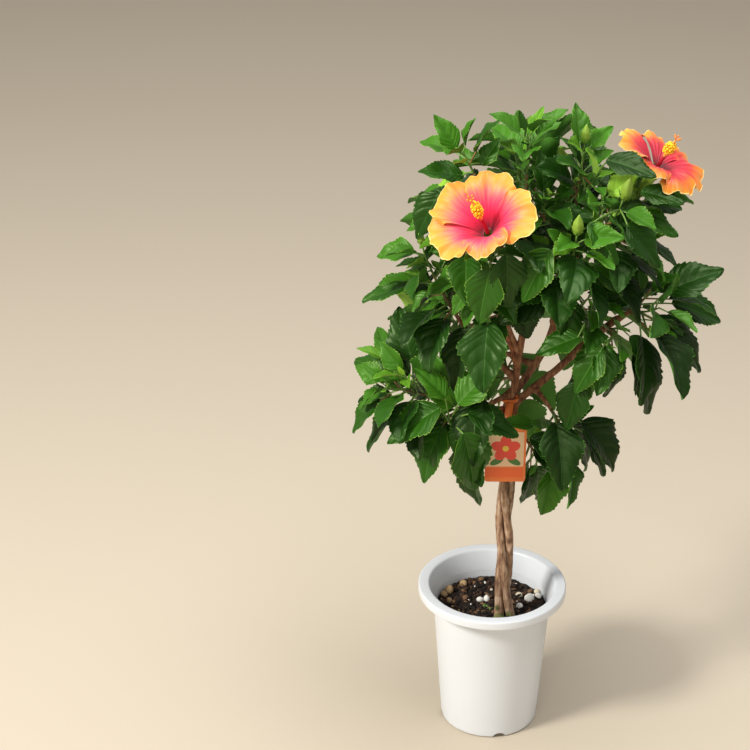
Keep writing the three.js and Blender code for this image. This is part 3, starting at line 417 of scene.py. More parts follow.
def smooth_line(knots, steps):
    knots = np.array([knots[0], *knots, knots[-1]], float)
    out = []
    for p0, p1, p2, p3 in zip(knots, knots[1:], knots[2:], knots[3:]):
        for t in np.arange(steps) / steps:
            bow = (2 * p0 - 5 * p1 + 4 * p2 - p3) * t * t
            out.append(0.5 * (2 * p1 + (p2 - p0) * t + bow + (p3 - p0 - 3 * p2 + 3 * p1) * t * t * t))
    return np.array([*out, knots[-1]])


def bezier(p0, p1, p2, t):
    return p0 * (1 - t) ** 2 + p1 * (2 * t * (1 - t)) + p2 * t * t


def point_at(twig, t):
    return bezier(twig["start"], twig["bend"], twig["end"], t)


def way_at(twig, t):
    return unit((twig["bend"] - twig["start"]) * (1 - t) + (twig["end"] - twig["bend"]) * t)


def curve(twig, count):
    return np.array([point_at(twig, i / count) for i in range(count + 1)])


def at_height(line, z):
    i = 0
    while i < len(line) - 2 and line[i + 1][2] < z:
        i += 1
    f = min(1.0, (z - line[i][2]) / (line[i + 1][2] - line[i][2]))
    return line[i] + (line[i + 1] - line[i]) * f


def spread(a, b):
    """Points along a straight line, a sample's length apart or less."""
    count = max(1, ceil(sqrt(float((b - a) @ (b - a))) / SAMPLE))
    return a + (b - a) * (np.arange(count + 1)[:, None] / count)


def line_samples(line):
    return np.concatenate([spread(a, b) for a, b in zip(line, line[1:])])


# Space that leaves and twigs claim


class Space:
    """Cells of space, each claimed by one leaf or one mass of twigs, with the cells next to it."""

    def __init__(self, cell):
        self.cell = cell
        self.size = np.round(GRID_REACH / cell).astype(int)
        self.owner = np.zeros(self.size, np.int16)
        self.leaves = 0

    def cells(self, points):
        return np.floor((points - GRID_LOW) / self.cell).astype(int)

    def claim(self, points, who):
        cells = np.unique(self.cells(points), axis=0)
        cells = cells[(cells > 0).all(1) & (cells < self.size - 2).all(1)]
        for step in np.ndindex(3, 3, 3):
            at = tuple((cells + np.array(step) - 1).T)
            old = self.owner[at]
            self.owner[at] = np.where((old == 0) | (old == who), who, MIXED)

    def claim_blade(self, points):
        self.leaves += 1
        self.claim(points, FIRST_LEAF + self.leaves)

    def free(self, points, who=0):
        """Whether all the points lie in cells that are free, or belong to the one that asks."""
        cells = self.cells(points)
        if (cells < 1).any() or (cells > self.size - 2).any():
            return False
        old = self.owner[tuple(cells.T)]
        return not ((old != 0) & (old != who)).any()


# The trunk: three strands twisted round one axis


def strand_point(turn, z):
    low, middle, high = np.array(TRUNK_AXIS)
    a, b = (low, middle) if z < middle[2] else (middle, high)
    axis = a + (b - a) * ((z - a[2]) / (b[2] - a[2]))
    angle = radians(TWIST_START + 120.0 * turn) - tau * (z - TWIST_TOP) / TWIST_PITCH
    off = STRAND_OFFSET + STRAND_SPLAY * exp((SOIL_LEVEL - z) / SPLAY_HEIGHT)
    return axis[0] + off * cos(angle), axis[1] + off * sin(angle), z


def stem_line(stem):
    spans = 12
    rise = (TWIST_TOP - SOIL_LEVEL) / spans
    knots = [strand_point(stem["turn"], SOIL_LEVEL + rise * i) for i in range(spans + 1)]
    return smooth_line([*knots, *stem["way"]], 4)


# Leaves as the rule places them


def half_width(t):
    inner = np.clip(t, 0, 1)
    return np.where(inner < WIDEST, (inner / WIDEST) ** FOOT_POWER, ((1 - inner) / (1 - WIDEST)) ** TIP_POWER)


def leaf_points(leaf, t, u, lift=0.0):
    """Points of the blade: t from its foot to its tip, u from one edge to the other, lift above it."""
    angle = leaf["droop"] * t
    run = np.sin(angle) / leaf["droop"] * leaf["length"]
    drop = (1 - np.cos(angle)) / leaf["droop"] * leaf["length"]
    half = leaf["width"] * 0.5 * half_width(t)
    out = cos(leaf["fold"]) * u * half
    above = sin(leaf["fold"]) * np.abs(u) * half + lift
    along = run + np.sin(angle) * above
    up = np.cos(angle) * above - drop
    points = leaf["base"] + along[..., None] * leaf["way"] + up[..., None] * leaf["normal"]
    return points + out[..., None] * leaf["side"]


def blade_samples(leaf):
    rows = max(3, ceil(leaf["length"] / SAMPLE))
    columns = max(2, ceil(leaf["width"] * 0.5 / SAMPLE))
    t = np.arange(rows + 1) / rows
    t, u = np.meshgrid(t[t >= 0.12], np.linspace(-1, 1, 2 * columns + 1), indexing="ij")
    return leaf_points(leaf, t.ravel(), u.ravel())


def stalk_samples(leaf):
    return line_samples((leaf["root"], leaf["bend"], leaf["base"]))


def inside_crown(points):
    share = np.abs((points - CROWN_CENTRE) / CROWN_REACH) ** CROWN_POWER
    return bool(share.sum(axis=1).max() < 1)


def make_leaf(root, tangent, azimuth, age, blade, hang, chance):
    """A leaf at a point of a twig; age runs from 1 at the foot of the twig to about 0.25 at its tip."""
    above = UP - tangent * tangent[2]
    if float(above @ above) < 0.02:
        above = EAST - tangent * tangent[0]
    above = unit(above)
    beside = np.cross(tangent, above)
    opening = radians(OPENING["young"] + OPENING["aged"] * age + OPENING["chance"] * (chance[0] - 0.5))
    ring = above * cos(azimuth) + beside * sin(azimuth)
    stalk_way = unit(tangent * cos(opening) + ring * sin(opening))
    length = blade * (SIZE["young"] + SIZE["aged"] * age) * (SIZE["least"] + SIZE["chance"] * chance[1])
    stalk = length * (STALK["young"] + STALK["aged"] * age) * (STALK["least"] + STALK["chance"] * chance[2])
    outward = (root - LEAN_CENTRE) * (1, 1, 0)
    outward = outward / (sqrt(float(outward @ outward)) + 30)
    drop = hang * (HANG["young"] + HANG["aged"] * age)
    sink = HANG["chance"] * (chance[3] - 0.5) - HANG["pull"] * drop
    way = unit(stalk_way * (1 - HANG["ease"] * drop) + outward * HANG["outward"] + UP * sink)
    bend = root + stalk_way * (stalk * 0.6)
    base = bend + unit(stalk_way + way) * (stalk * 0.4)
    reference = UP * 0.8 + outward * 0.9 + tangent * 0.25
    face = reference - way * float(reference @ way)
    if float(face @ face) < 0.01:
        face = above - way * float(above @ way)
    face = unit(face)
    roll = radians(ROLL * (chance[4] - 0.5))
    normal = face * cos(roll) + np.cross(way, face) * sin(roll)
    return dict(
        root=root, bend=bend, base=base, way=way, normal=normal, side=np.cross(way, normal), length=length,
        width=length * (WIDTH["least"] + WIDTH["chance"] * chance[5]),
        droop=radians(DROOP["least"] + DROOP["chance"] * chance[6] * (0.4 + 0.6 * age)),
        fold=radians(FOLD["least"] + FOLD["chance"] * chance[7] + FOLD["young"] * (1 - age)),
        age=age, chance=chance,
    )


def posed_leaf(mass, age, base, tip):
    """A leaf whose blade runs from base to tip, upper side up and a little to the front, from the nearest twig."""
    places = np.concatenate([curve(twig, 20) for twig in mass["twigs"]])
    root = places[np.argmin(((places - base) ** 2).sum(axis=1))]
    way = unit(tip - base)
    normal = unit(POSED_LOOK - way * float(POSED_LOOK @ way))
    length = float(np.linalg.norm(tip - base))
    return dict(
        root=root, bend=(root + base) / 2 + UP * 3, base=base, way=way, normal=normal, side=np.cross(way, normal),
        length=length, width=length * POSED_WIDTH, droop=POSED_DROOP, fold=POSED_FOLD, age=age, chance=[0.5] * 8,
    )


# Blooms, buds and the label as the rule keeps clear of them


def bloom_frame(bloom):
    axis = unit(np.array(bloom["axis"]))
    side = unit(np.cross(axis, UP))
    return axis, side, np.cross(axis, side)


def bloom_samples(bloom):
    axis, side, other = bloom_frame(bloom)
    points = []
    for depth in np.arange(0, bloom["clear"] + 1e-9, CELL):
        shrink = 1 - 0.5 * (depth - CUP) / (bloom["clear"] - CUP)
        reach = bloom["radius"] + 3 if depth <= CUP else bloom["radius"] * shrink
        for r in np.arange(0, reach + 1e-9, CELL):
            a = turns(max(1, ceil(tau * r / CELL)))[:, None]
            points.append(np.array(bloom["throat"]) + axis * depth + (side * np.cos(a) + other * np.sin(a)) * r)
    return np.concatenate(points)


def tag_samples(stem):
    centre = np.array(TAG["centre"])
    points = []
    for k in range(9):
        left = -0.5 if k < 2 else -0.2
        for x in np.arange(TAG["width"] * left, TAG["width"] / 2 + 1e-9, CELL):
            for z in np.arange(-TAG["height"] / 2, TAG["height"] / 2 + 1e-9, CELL):
                points.append(centre + (x, -CELL * k, z))
    ring = at_height(stem, TAG["ring"])
    points += [ring + np.array([cos(a), sin(a), 0.0]) * 8 for a in turns(12)]
    return np.concatenate([points, spread(centre + UP * (TAG["height"] / 2), ring + FRONT * 8)])


def front_samples(lines):
    line = np.concatenate(lines)
    line = line[(line[:, 2] >= OPEN_FRONT["low"]) & (line[:, 2] <= OPEN_FRONT["high"])]
    depths = np.arange(OPEN_FRONT["first"], OPEN_FRONT["last"] + 1e-9, CELL)
    return (line[:, None] + depths[None, :, None] * np.array(OPEN_FRONT["way"])).reshape(-1, 3)


def bud_line(mass):
    """The axis of a mass's bud on its stalk, with the places where its girth changes."""
    end = mass["twigs"][0]["end"]
    twig_way = way_at(mass["twigs"][0], 1.0)
    length = BUDS[mass["name"]]
    way = unit(twig_way + UP * 0.6)
    stalk = length * BUD_STALK
    places = (0, stalk, *(stalk + length * share for share in BUD_CHANGES))
    return np.array([end - twig_way * 1.5 + way * place for place in places])


# The crown, grown mass by mass with the leaves placed in turns


def sprout(space, mass, parent, t, size, angles, way_shares, **rest):
    """Adds a twig to a mass, in the first direction about its parent that is free."""
    ahead, beyond, lift = way_shares
    up = UP * lift
    start = point_at(parent, t)
    tangent = way_at(parent, t)
    beside = unit(np.cross(tangent, UP if abs(tangent[2]) < 0.95 else EAST))
    above = np.cross(tangent, beside)
    for a in angles:
        way = unit(tangent * ahead + (beside * cos(a) + above * sin(a)) * beyond + up)
        twig = dict(start=start, bend=start + unit(way - up) * (size * 0.5), end=start + way * size, **rest)
        line = line_samples(curve(twig, 4))
        if space.free(line, mass["number"]):
            space.claim(line, mass["number"])
            mass["twigs"].append(twig)
            return


def place_leaf(space, mass, twig, t, azimuth, age, blade, chance):
    """Adds the first leaf of the tries whose blade and stalk find free space, if there is one."""
    for turn, scale, lift in TRIES:
        angle = azimuth + radians(turn)
        leaf = make_leaf(
            point_at(twig, t), way_at(twig, t), angle, age, blade * scale, mass["hang"] + lift, chance,
        )
        points = blade_samples(leaf)
        if not inside_crown(points[::7]) or not space.free(points):
            continue
        stalk = stalk_samples(leaf)
        if space.free(stalk, mass["number"]):
            space.claim(stalk[2:], mass["number"])
            space.claim_blade(points)
            mass["leaves"].append(leaf)
            return


def grow_shoots(mass, space):
    main = mass["twigs"][0]
    draw = mass["draw"]
    leaves = max(3, int(main["leaves"] * SHOOT_LEAVES + 0.5))
    for j in range(mass["shoots"]):
        share = SHOOT_PLACE["first"] + SHOOT_PLACE["span"] * (j + 0.5 * draw()) / mass["shoots"]
        t = main["bare"] + (1 - main["bare"]) * share
        wander = 1.5 * (draw() - 0.5)
        size = SHOOT_LENGTH["least"] + SHOOT_LENGTH["chance"] * draw()
        size *= SHOOT_TAPER["foot"] - SHOOT_TAPER["loss"] * t
        angles = [radians(mass["spin"] + turn) + j * pi + wander for turn in SHOOT_TURNS]
        sprout(space, mass, main, t, size, angles, (0.8, 0.8, 0.25), bare=SHOOT_BARE, leaves=leaves)


def claim_fixed(space, stems, masses, fronts):
    """The space of stems, blooms, label, main twigs and buds, and the sight lines to the stems in fronts."""
    for line in stems.values():
        space.claim(line_samples(line), FIXED)
    for bloom in BLOOMS.values():
        space.claim(bloom_samples(bloom), FIXED)
    space.claim(tag_samples(stems["stem_a"]), FIXED)
    space.claim(front_samples([stems[name] for name in fronts]), FIXED)
    for mass in masses:
        main = mass["twigs"][0]
        space.claim(line_samples(curve(main, 12)), mass["number"])
        if mass["name"] in BLOOMS:
            bloom = BLOOMS[mass["name"]]
            throat = np.array(bloom["throat"], float)
            foot = throat - unit(np.array(bloom["axis"])) * CALYX
            space.claim(line_samples((main["end"], foot, throat)), mass["number"])
        if mass["name"] in BUDS:
            space.claim(line_samples(bud_line(mass)), mass["number"])


def grow_crown(stems):
    masses = []
    for name, stem, height, tip, rise, bare, leaves, shoots, blade, hang, spin, seed in MASSES:
        start = at_height(stems[stem], height)
        end = np.array(tip, float)
        bend = start + (end - start) * (1 - rise, 1 - rise, rise)
        masses.append(dict(
            name=name, number=len(masses) + 1, shoots=shoots, blade=blade, hang=hang, spin=spin, seed=seed,
            draw=seeded(seed * 7919), twigs=[dict(start=start, bend=bend, end=end, bare=bare, leaves=leaves)],
            leaves=[], young=[],
        ))
    space = Space(CELL)
    claim_fixed(space, stems, masses, STEMS)
    for mass in masses:
        grow_shoots(mass, space)
    for i in range(max(twig["leaves"] for mass in masses for twig in mass["twigs"])):
        for mass in masses:
            for j, twig in enumerate(mass["twigs"]):
                if i >= twig["leaves"]:
                    continue
                f = i / max(twig["leaves"] - 1, 1)
                share = FIRST_PLACE + (1 - FIRST_PLACE) * (1 - (1 - f) ** CROWDING)
                t = twig["bare"] + (1 - twig["bare"]) * share
                age = (1 - TIP_YOUTH * f ** YOUTH_POWER) * (SHOOT_AGE if j else 1)
                angle = radians(mass["spin"]) + j * SHOOT_SPIN + i * GOLDEN
                place_leaf(space, mass, twig, t, angle, age, mass["blade"], chances(mass["draw"]))
    return masses


# The finer growth between the first leaves


def fine_twigs(mass, space, draw):
    """Short twigs off the main twig and its shoots."""
    for twig in list(mass["twigs"]):
        for k in range(FINE_TWIGS if twig is mass["twigs"][0] else 1):
            t = twig["bare"] + (1 - twig["bare"]) * (k + 0.3 + 0.5 * draw()) / (FINE_TWIGS + 0.4)
            size = FINE_LENGTH["least"] + FINE_LENGTH["chance"] * draw()
            angles = tau * draw() + turns(6)
            sprout(space, mass, twig, t, size, angles, (0.6, 1, 0.3), bare=FINE_BARE, leaves=FINE_LEAVES)


def young_leaves(mass, space, draw):
    """A few small upright leaves at each free tip."""
    for j, twig in enumerate(mass["twigs"]):
        if j == 0 and (mass["name"] in BLOOMS or mass["name"] in BUDS):
            continue
        tangent = way_at(twig, 1.0)
        for k in range(ROSETTE):
            chance = chances(draw)
            root = twig["end"] - tangent * (YOUNG_STEP * k)
            blade = YOUNG_BLADE["least"] + YOUNG_BLADE["step"] * k + YOUNG_BLADE["chance"] * draw()
            age = YOUNG_AGE["least"] + YOUNG_AGE["step"] * k
            leaf = make_leaf(root, tangent, k * GOLDEN + j, age, blade, YOUNG_HANG, chance)
            leaf["width"] *= YOUNG_WIDTH
            points = blade_samples(leaf)
            if inside_crown(points[::7]) and space.free(points[len(points) // 4:], mass["number"]):
                space.claim_blade(points)
                mass["young"].append(leaf)


def fill_out(stems, masses):
    """More leaves, smaller ones, in the space that the first leaves left, and young leaves at the tips."""
    space = Space(FINE_CELL)
    claim_fixed(space, stems, masses, FINE_FRONTS)
    for mass in masses:
        for twig in mass["twigs"][1:]:
            space.claim(line_samples(curve(twig, 4)), mass["number"])
        for leaf in mass["leaves"]:
            space.claim(stalk_samples(leaf)[2:], mass["number"])
            space.claim_blade(blade_samples(leaf))
    for name, age, base, tip in POSED:
        mass = next(mass for mass in masses if mass["name"] == name)
        leaf = posed_leaf(mass, age, np.array(base, float), np.array(tip, float))
        space.claim_blade(blade_samples(leaf))
        mass["leaves"].append(leaf)
    draws = [seeded(mass["seed"] * 104729) for mass in masses]
    for mass, draw in zip(masses, draws):
        fine_twigs(mass, space, draw)
    for i in range(EXTRA_LEAVES):
        for mass, draw in zip(masses, draws):
            for j, twig in enumerate(mass["twigs"]):
                fine = j > mass["shoots"]
                if i >= (FINE_LEAVES if fine else EXTRA_LEAVES):
                    continue
                t = twig["bare"] + (1 - twig["bare"]) * min(1, (i + 0.2 + 0.6 * draw()) / EXTRA_LEAVES)
                age = (0.9 - 0.6 * t) * (0.75 if fine else 1)
                chance = chances(draw)
                angle = tau * draw()
                blade = mass["blade"] * (EXTRA_BLADE["least"] + EXTRA_BLADE["chance"] * draw())
                place_leaf(space, mass, twig, t, angle, age, blade, chance)
    for mass, draw in zip(masses, draws):
        young_leaves(mass, space, draw)


# Meshes


class Piece:
    """A mesh put together from many parts, each with a material of its own."""

    def __init__(self, name, materials):
        self.name = name
        self.materials = materials
        self.parts = []
        self.count = 0

    def add(self, points, quads, look, triangles=(), triangle_look=None, rim=False, place=0.0):
        """look is one material's index, or one for each face; rim marks points along a sharp edge."""
        points = np.asarray(points, float).reshape(-1, 3)
        triangles = np.asarray(triangles, int).reshape(-1, 3)
        if triangle_look is None:
            triangle_look = np.atleast_1d(look)[-1]
        self.parts.append((
            points, np.asarray(quads) + self.count, triangles + self.count,
            np.broadcast_to(look, len(quads)), np.broadcast_to(triangle_look, len(triangles)),
            np.broadcast_to(rim, len(points)), np.broadcast_to(place, (len(points), 2)),
        ))
        self.count += len(points)

    def build(self, slot, nodes=()):
        """Makes the object, which rides on the shrub, and stands for the nodes."""
        joined = (np.concatenate(part) for part in zip(*self.parts))
        points, quads, triangles, quad_looks, triangle_looks, rim, places = joined
        loops = np.concatenate([quads.ravel(), triangles.ravel()])
        starts = np.concatenate([np.arange(len(quads)) * 4, len(quads) * 4 + np.arange(len(triangles)) * 3])
        mesh = bpy.data.meshes.new(self.name)
        mesh.vertices.add(self.count)
        mesh.vertices.foreach_set("co", (points * MM).ravel())
        mesh.loops.add(len(loops))
        mesh.loops.foreach_set("vertex_index", loops.astype(np.int32))
        mesh.polygons.add(len(starts))
        mesh.polygons.foreach_set("loop_start", starts.astype(np.int32))
        mesh.polygons.foreach_set("material_index", np.concatenate([quad_looks, triangle_looks]).astype(np.int32))
        for material in self.materials:
            mesh.materials.append(material)
        mesh.update(calc_edges=True)
        if rim.any():
            ends = np.empty(len(mesh.edges) * 2, np.int32)
            mesh.edges.foreach_get("vertices", ends)
            mesh.edges.foreach_set("use_edge_sharp", rim[ends.reshape(-1, 2)].all(axis=1))
        if places.any():
            mesh.uv_layers.new(name="Place").uv.foreach_set("vector", places[loops].ravel())
        thing = bpy.data.objects.new(self.name, mesh)
        bpy.context.scene.collection.objects.link(thing)
        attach(thing, "root")
        if nodes:
            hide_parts(*nodes)
        return thing


def grid_quads(rows, columns, around=False, over=False):
    """The faces of a grid of points, open or closed around each row, and open or closed over the rows."""
    i, j = np.meshgrid(
        np.arange(rows if over else rows - 1), np.arange(columns if around else columns - 1), indexing="ij",
    )
    k = (j + 1) % columns
    low = i * columns
    high = (i + 1) % rows * columns
    return np.stack([low + j, low + k, high + k, high + j], axis=-1).reshape(-1, 4)


def closed_rings(rings, ends):
    """The points, quads and triangles of a solid of rings of points, with a hub at either end."""
    count, sides = rings.shape[:2]
    k = np.arange(sides)
    following = (k + 1) % sides
    hub = np.full(sides, count * sides)
    last = (count - 1) * sides
    caps = np.concatenate([
        np.stack([hub, following, k], axis=1), np.stack([hub + 1, last + k, last + following], axis=1),
    ])
    return np.concatenate([rings.reshape(-1, 3), ends]), grid_quads(count, sides, around=True), caps


def add_rings(piece, rings, ends, look, rim=False):
    points, quads, caps = closed_rings(rings, ends)
    piece.add(points, quads, look, caps, rim=rim)


def directions(line):
    ways = np.gradient(line, axis=0)
    return ways / np.linalg.norm(ways, axis=1, keepdims=True)


def across(line):
    """Two directions across a line at each of its points, turning as little as they can."""
    ways = directions(line)
    first = [UP if abs(ways[0][2]) < 0.9 else EAST]
    for way in ways:
        first.append(unit(first[-1] - way * float(first[-1] @ way)))
    first = np.array(first[1:])
    return first, np.cross(ways, first)


def spokes(line, sides):
    """Directions out of a line, for each of its points and sides."""
    first, second = across(line)
    angle = turns(sides)[:, None]
    return np.cos(angle) * first[:, None] + np.sin(angle) * second[:, None]


def distances(line):
    return np.concatenate([[0.0], np.cumsum(np.linalg.norm(np.diff(line, axis=0), axis=1))])


def even(line, radii, step):
    """The same line in even steps, with the radii that go with them."""
    lengths = distances(line)
    at = np.linspace(0, lengths[-1], max(2, ceil(lengths[-1] / step) + 1))
    return np.stack([np.interp(at, lengths, line[:, k]) for k in range(3)], axis=1), np.interp(at, lengths, radii)


def tube(piece, line, radii, sides, look, relief=0.0):
    """A closed tube along a line; relief lifts its skin at each ring and side; look may go by faces."""
    line = np.asarray(line, float)
    reach = np.broadcast_to(radii, len(line))[:, None] + np.broadcast_to(relief, (len(line), sides))
    add_rings(piece, line[:, None] + spokes(line, sides) * reach[..., None], [line[0], line[-1]], look)


def ball_shape(rows, sides):
    """A unit ball: its points and its faces."""
    tilt = pi * np.arange(1, rows)[:, None] / rows
    turn = turns(sides)
    height = np.broadcast_to(-np.cos(tilt), (rows - 1, sides))
    rings = np.stack([np.sin(tilt) * np.cos(turn), np.sin(tilt) * np.sin(turn), height], axis=-1)
    return closed_rings(rings, [-UP, UP])


def balls(piece, centres, radii, look, rows, sides):
    points, quads, caps = ball_shape(rows, sides)
    for centre, radius in zip(centres, radii):
        piece.add(centre + points * radius, quads, look, caps)


def lump(piece, shape, centre, spread_out, knobs, stretch, draw, look):
    """A knobbly lump of a ball's shape, turned at random."""
    points, quads, caps = shape
    a, b, c = (tau * draw() for _ in range(3))
    spin = np.array(Euler((b, c, a), "YXZ").to_matrix())
    piece.add(centre + (points * knobs[:, None] * stretch) @ spin.T * spread_out, quads, look, caps)


# Materials


def linear(color):
    """A colour written as #rrggbb, as the numbers a shader wants."""
    parts = (int(color[i:i + 2], 16) / 255 for i in (1, 3, 5))
    return tuple(part / 12.92 if part <= 0.04045 else ((part + 0.055) / 1.055) ** 2.4 for part in parts) + (1.0,)


def surface(name, color, roughness, **sockets):
    """A material of one plain colour; the other sockets go by their names with spaces for underscores."""
    material = bpy.data.materials.new(name)
    material.use_nodes = True
    shader = material.node_tree.nodes["Principled BSDF"]
    shader.inputs["Base Color"].default_value = linear(color)
    shader.inputs["Roughness"].default_value = roughness
    for socket, value in sockets.items():
        shader.inputs[socket.replace("_", " ")].default_value = value
    material.diffuse_color = linear(color)
    return material


def surfaces(*rows):
    return [surface(*row) for row in rows]


def node(look, kind, sockets, **settings):
    """Adds a node to a material: each socket holds a value, or follows another node's output."""
    made = look.node_tree.nodes.new("ShaderNode" + kind)
    for name, value in settings.items():
        setattr(made, name, value)
    for socket, value in sockets.items():
        if isinstance(value, bpy.types.NodeSocket):
            look.node_tree.links.new(value, made.inputs[socket])
        else:
            made.inputs[socket].default_value = value
    return made


def drive(look, socket, output):
    look.node_tree.links.new(output, look.node_tree.nodes["Principled BSDF"].inputs[socket])


def noise(look, scale, detail, stretch=(1.0, 1.0, 1.0), source="Object"):
    """Noise with lumps of 1/scale metres, stretched along the axes."""
    place = node(look, "TexCoord", {}).outputs[source]
    mapped = node(look, "Mapping", {"Vector": place, "Scale": stretch}).outputs["Vector"]
    return node(look, "TexNoise", {"Vector": mapped, "Scale": scale, "Detail": detail}).outputs["Fac"]


def color_by(look, value, stops):
    """Colours the surface by a value: stops are places from 0 to 1 with their colours."""
    ramp = node(look, "ValToRGB", {"Fac": value})
    elements = ramp.color_ramp.elements
    while len(elements) < len(stops):
        elements.new(1.0)
    for element, (place, color) in zip(elements, stops):
        element.position = place
        element.color = linear(color)
    drive(look, "Base Color", ramp.outputs["Color"])


def bump_by(look, value, depth, strength):
    """Bump by a value, with its depth in metres."""
    bump = node(look, "Bump", {"Distance": depth, "Strength": strength, "Height": value})
    drive(look, "Normal", bump.outputs["Normal"])


def summed(look, first, second, share):
    """first plus share times second, less its middle."""
    centred = node(look, "Math", {0: second, 1: 0.5}, operation="SUBTRACT").outputs[0]
    return node(look, "Math", {0: centred, 1: share, 2: first}, operation="MULTIPLY_ADD").outputs[0]


def leaf_looks():
    looks = []
    for row in UPPER + VEIN_AND_EDGE_GREENS + UNDER:
        look = surface(*row, Specular_IOR_Level=0.4, Specular_Tint=linear("#d4f0b0"))
        bump_by(look, noise(look, 300, 4), 0.0008, 0.4)
        looks.append(look)
    return looks


def bark_look(name):
    """Bark that streaks up the stem, with fine grain."""
    stops, roughness = BARKS[name]
    look = surface("bark_" + name, stops[1][1], roughness)
    streaks = noise(look, 330, 5, (1, 1, 0.2))
    color_by(look, summed(look, streaks, noise(look, 90, 3), 0.6), stops)
    bump_by(look, noise(look, 900, 4, (1, 1, 0.3)), 0.0005, 0.6)
    return look


def petal_look(name):
    """From the dark throat out to the golden rim, with streaks along the petal and a pale cream edge that is a
    painted highlight.
    """
    look = surface(name + "_petal", "#f2922e", 0.5, Sheen_Weight=0.15)
    place = node(look, "TexCoord", {}).outputs["UV"]
    outward = node(look, "SeparateXYZ", {"Vector": place}).outputs["Y"]
    streaks = noise(look, 1.0, 4, (48, 1.6, 1), "UV")
    blotches = noise(look, 1.0, 2, (5, 3, 1), "UV")
    color_by(look, summed(look, summed(look, outward, streaks, 0.42), blotches, 0.2), PETALS[name])
    bump_by(look, streaks, 0.0006, 0.5)
    return look


# The leaf: rows of points that follow the side veins out to the teeth


def leaf_plan(veins, phases, columns):
    """The rows and columns of one kind of leaf, with its faces; the columns run out from the midrib."""
    first, last = VEIN_SPAN
    between = [first + (last - first) * (k + p) / veins for k in range(veins) for p in phases]
    edge = np.array([*FOOT_ROWS, *between, *TIP_ROWS])
    phase = np.array([*[0.5] * len(FOOT_ROWS), *phases * veins, *TIP_PHASES])
    sides = np.array([*(-column for column in columns[::-1]), *columns])
    rows = len(edge)
    count = len(sides)
    is_vein = (phase[:-1] > 0.9) & (phase[1:] < 0.1)
    is_rib = np.arange(count - 1) == len(columns) - 1
    # The outer strip of faces takes a paler green, a painted highlight along the margin
    outer = np.abs(sides) > EDGE_STRIP
    is_edge_highlight = outer[:-1] & outer[1:] & (len(columns) > 3)
    kinds = np.where(is_rib, RIB, np.where(is_edge_highlight, EDGE_HIGHLIGHT, np.where(is_vein[:, None], SIDE_VEIN, TOP_SIDE)))
    left = np.arange(rows) * count
    right = left + count - 1
    under = rows * count + np.arange(rows * 3).reshape(rows, 3)
    tip = rows * count + rows * 3
    index = np.column_stack([left, under, right])
    back = np.stack([index[:-1, :-1], index[1:, :-1], index[1:, 1:], index[:-1, 1:]], axis=-1).reshape(-1, 4)
    front_tip = [(k, k + 1, tip) for k in range(left[-1], right[-1])]
    back_tip = [(index[-1, k + 1], index[-1, k], tip) for k in range(4)]
    foot = [(0, index[0, k], index[0, k + 1]) for k in range(1, 4)]
    rim = np.zeros(tip + 1, bool)
    rim[[*left, *right, tip]] = True
    return dict(
        edge=edge[:, None], phase=phase[:, None], sides=sides, rim=rim,
        quads=np.concatenate([grid_quads(rows, count), back]),
        kinds=np.array([*kinds.ravel(), *[UNDERSIDE] * len(back)]),
        triangles=np.array(front_tip + back_tip + foot),
        tip_kinds=np.array([TOP_SIDE] * len(front_tip) + [UNDERSIDE] * len(back_tip + foot)),
    )


# The plans, each with the length that a leaf has over it
PLANS = (
    (40, leaf_plan(5, (0.02, 0.18, 0.36, 0.5, 0.66, 0.86, 0.98), (0.06, 0.3, 0.58, 0.82, 0.975, 1.0))),
    (24, leaf_plan(4, (0.03, 0.18, 0.5, 0.7, 0.97), (0.08, 0.42, 0.76, 0.965, 1.0))),
    (0, leaf_plan(3, (0.05, 0.5, 0.95), (0.1, 0.55, 1.0))),
)


def leaf_mesh(leaf):
    """The points of a leaf on its plan: folded at the midrib, quilted between veins, wavy and toothed."""
    plan = next(plan for least, plan in PLANS if leaf["length"] > least)
    chance = leaf["chance"]
    half = leaf["width"] * 0.5
    edge = plan["edge"]
    phase = plan["phase"]

    def along(u):
        middle = edge ** VEIN_SLANT
        return middle + (edge - middle) * np.abs(u) ** VEIN_BOW

    def sway(t, u):
        """The waves of the sides and the curl of the tip."""
        ripple = np.sin(tau * (WAVES * t + chance[2] + 0.37 * np.sign(u))) * np.minimum(1, 3 * t)
        return WAVE * half * np.abs(u) ** 3 * ripple + TIP_CURL * (chance[3] - 0.6) * leaf["length"] * t ** 3

    u = plan["sides"]
    far = np.abs(u)
    grown = np.clip((edge - 0.16) / 0.28, 0, 1) * (1 - 0.35 * np.clip((edge - 0.8) / 0.2, 0, 1))
    teeth = np.interp(phase, TOOTH_PHASES, TOOTH_HEIGHTS) * grown
    reach = TOOTH * teeth * (far > EDGE_STRIP)
    t = along(u) + 0.5 * reach * (teeth > 0) * (1 - edge)
    girth = half * half_width(t)
    pillow = np.minimum(1, 4 * far) * (1 - far ** 3)
    quilt = QUILT * half * np.sin(pi * phase) ** 0.5 * pillow * np.minimum(1, 6 * edge)
    lift = quilt + ARCH * np.sin(pi * far) * girth - GROOVE * half * (far < 0.2) + sway(t, u)
    rib = np.minimum(MIDRIB + MIDRIB_SHARE * leaf["length"], 0.3 * girth) / np.maximum(girth, 0.3)
    side = np.where(far < 0.15, np.sign(u) * rib, u * (1 + reach))
    front = leaf_points(leaf, t, np.where(edge < 0.01, u, side), lift)
    u = np.array(UNDER_COLUMNS)
    t = along(u)
    back = leaf_points(leaf, t, u, sway(t, u) - BLADE - np.where(u == 0, 0.5 * (1 - edge), 0))
    tip = leaf_points(leaf, np.ones(1), np.zeros(1), sway(np.ones(1), np.zeros(1)))
    return np.concatenate([front.reshape(-1, 3), back.reshape(-1, 3), tip]), plan


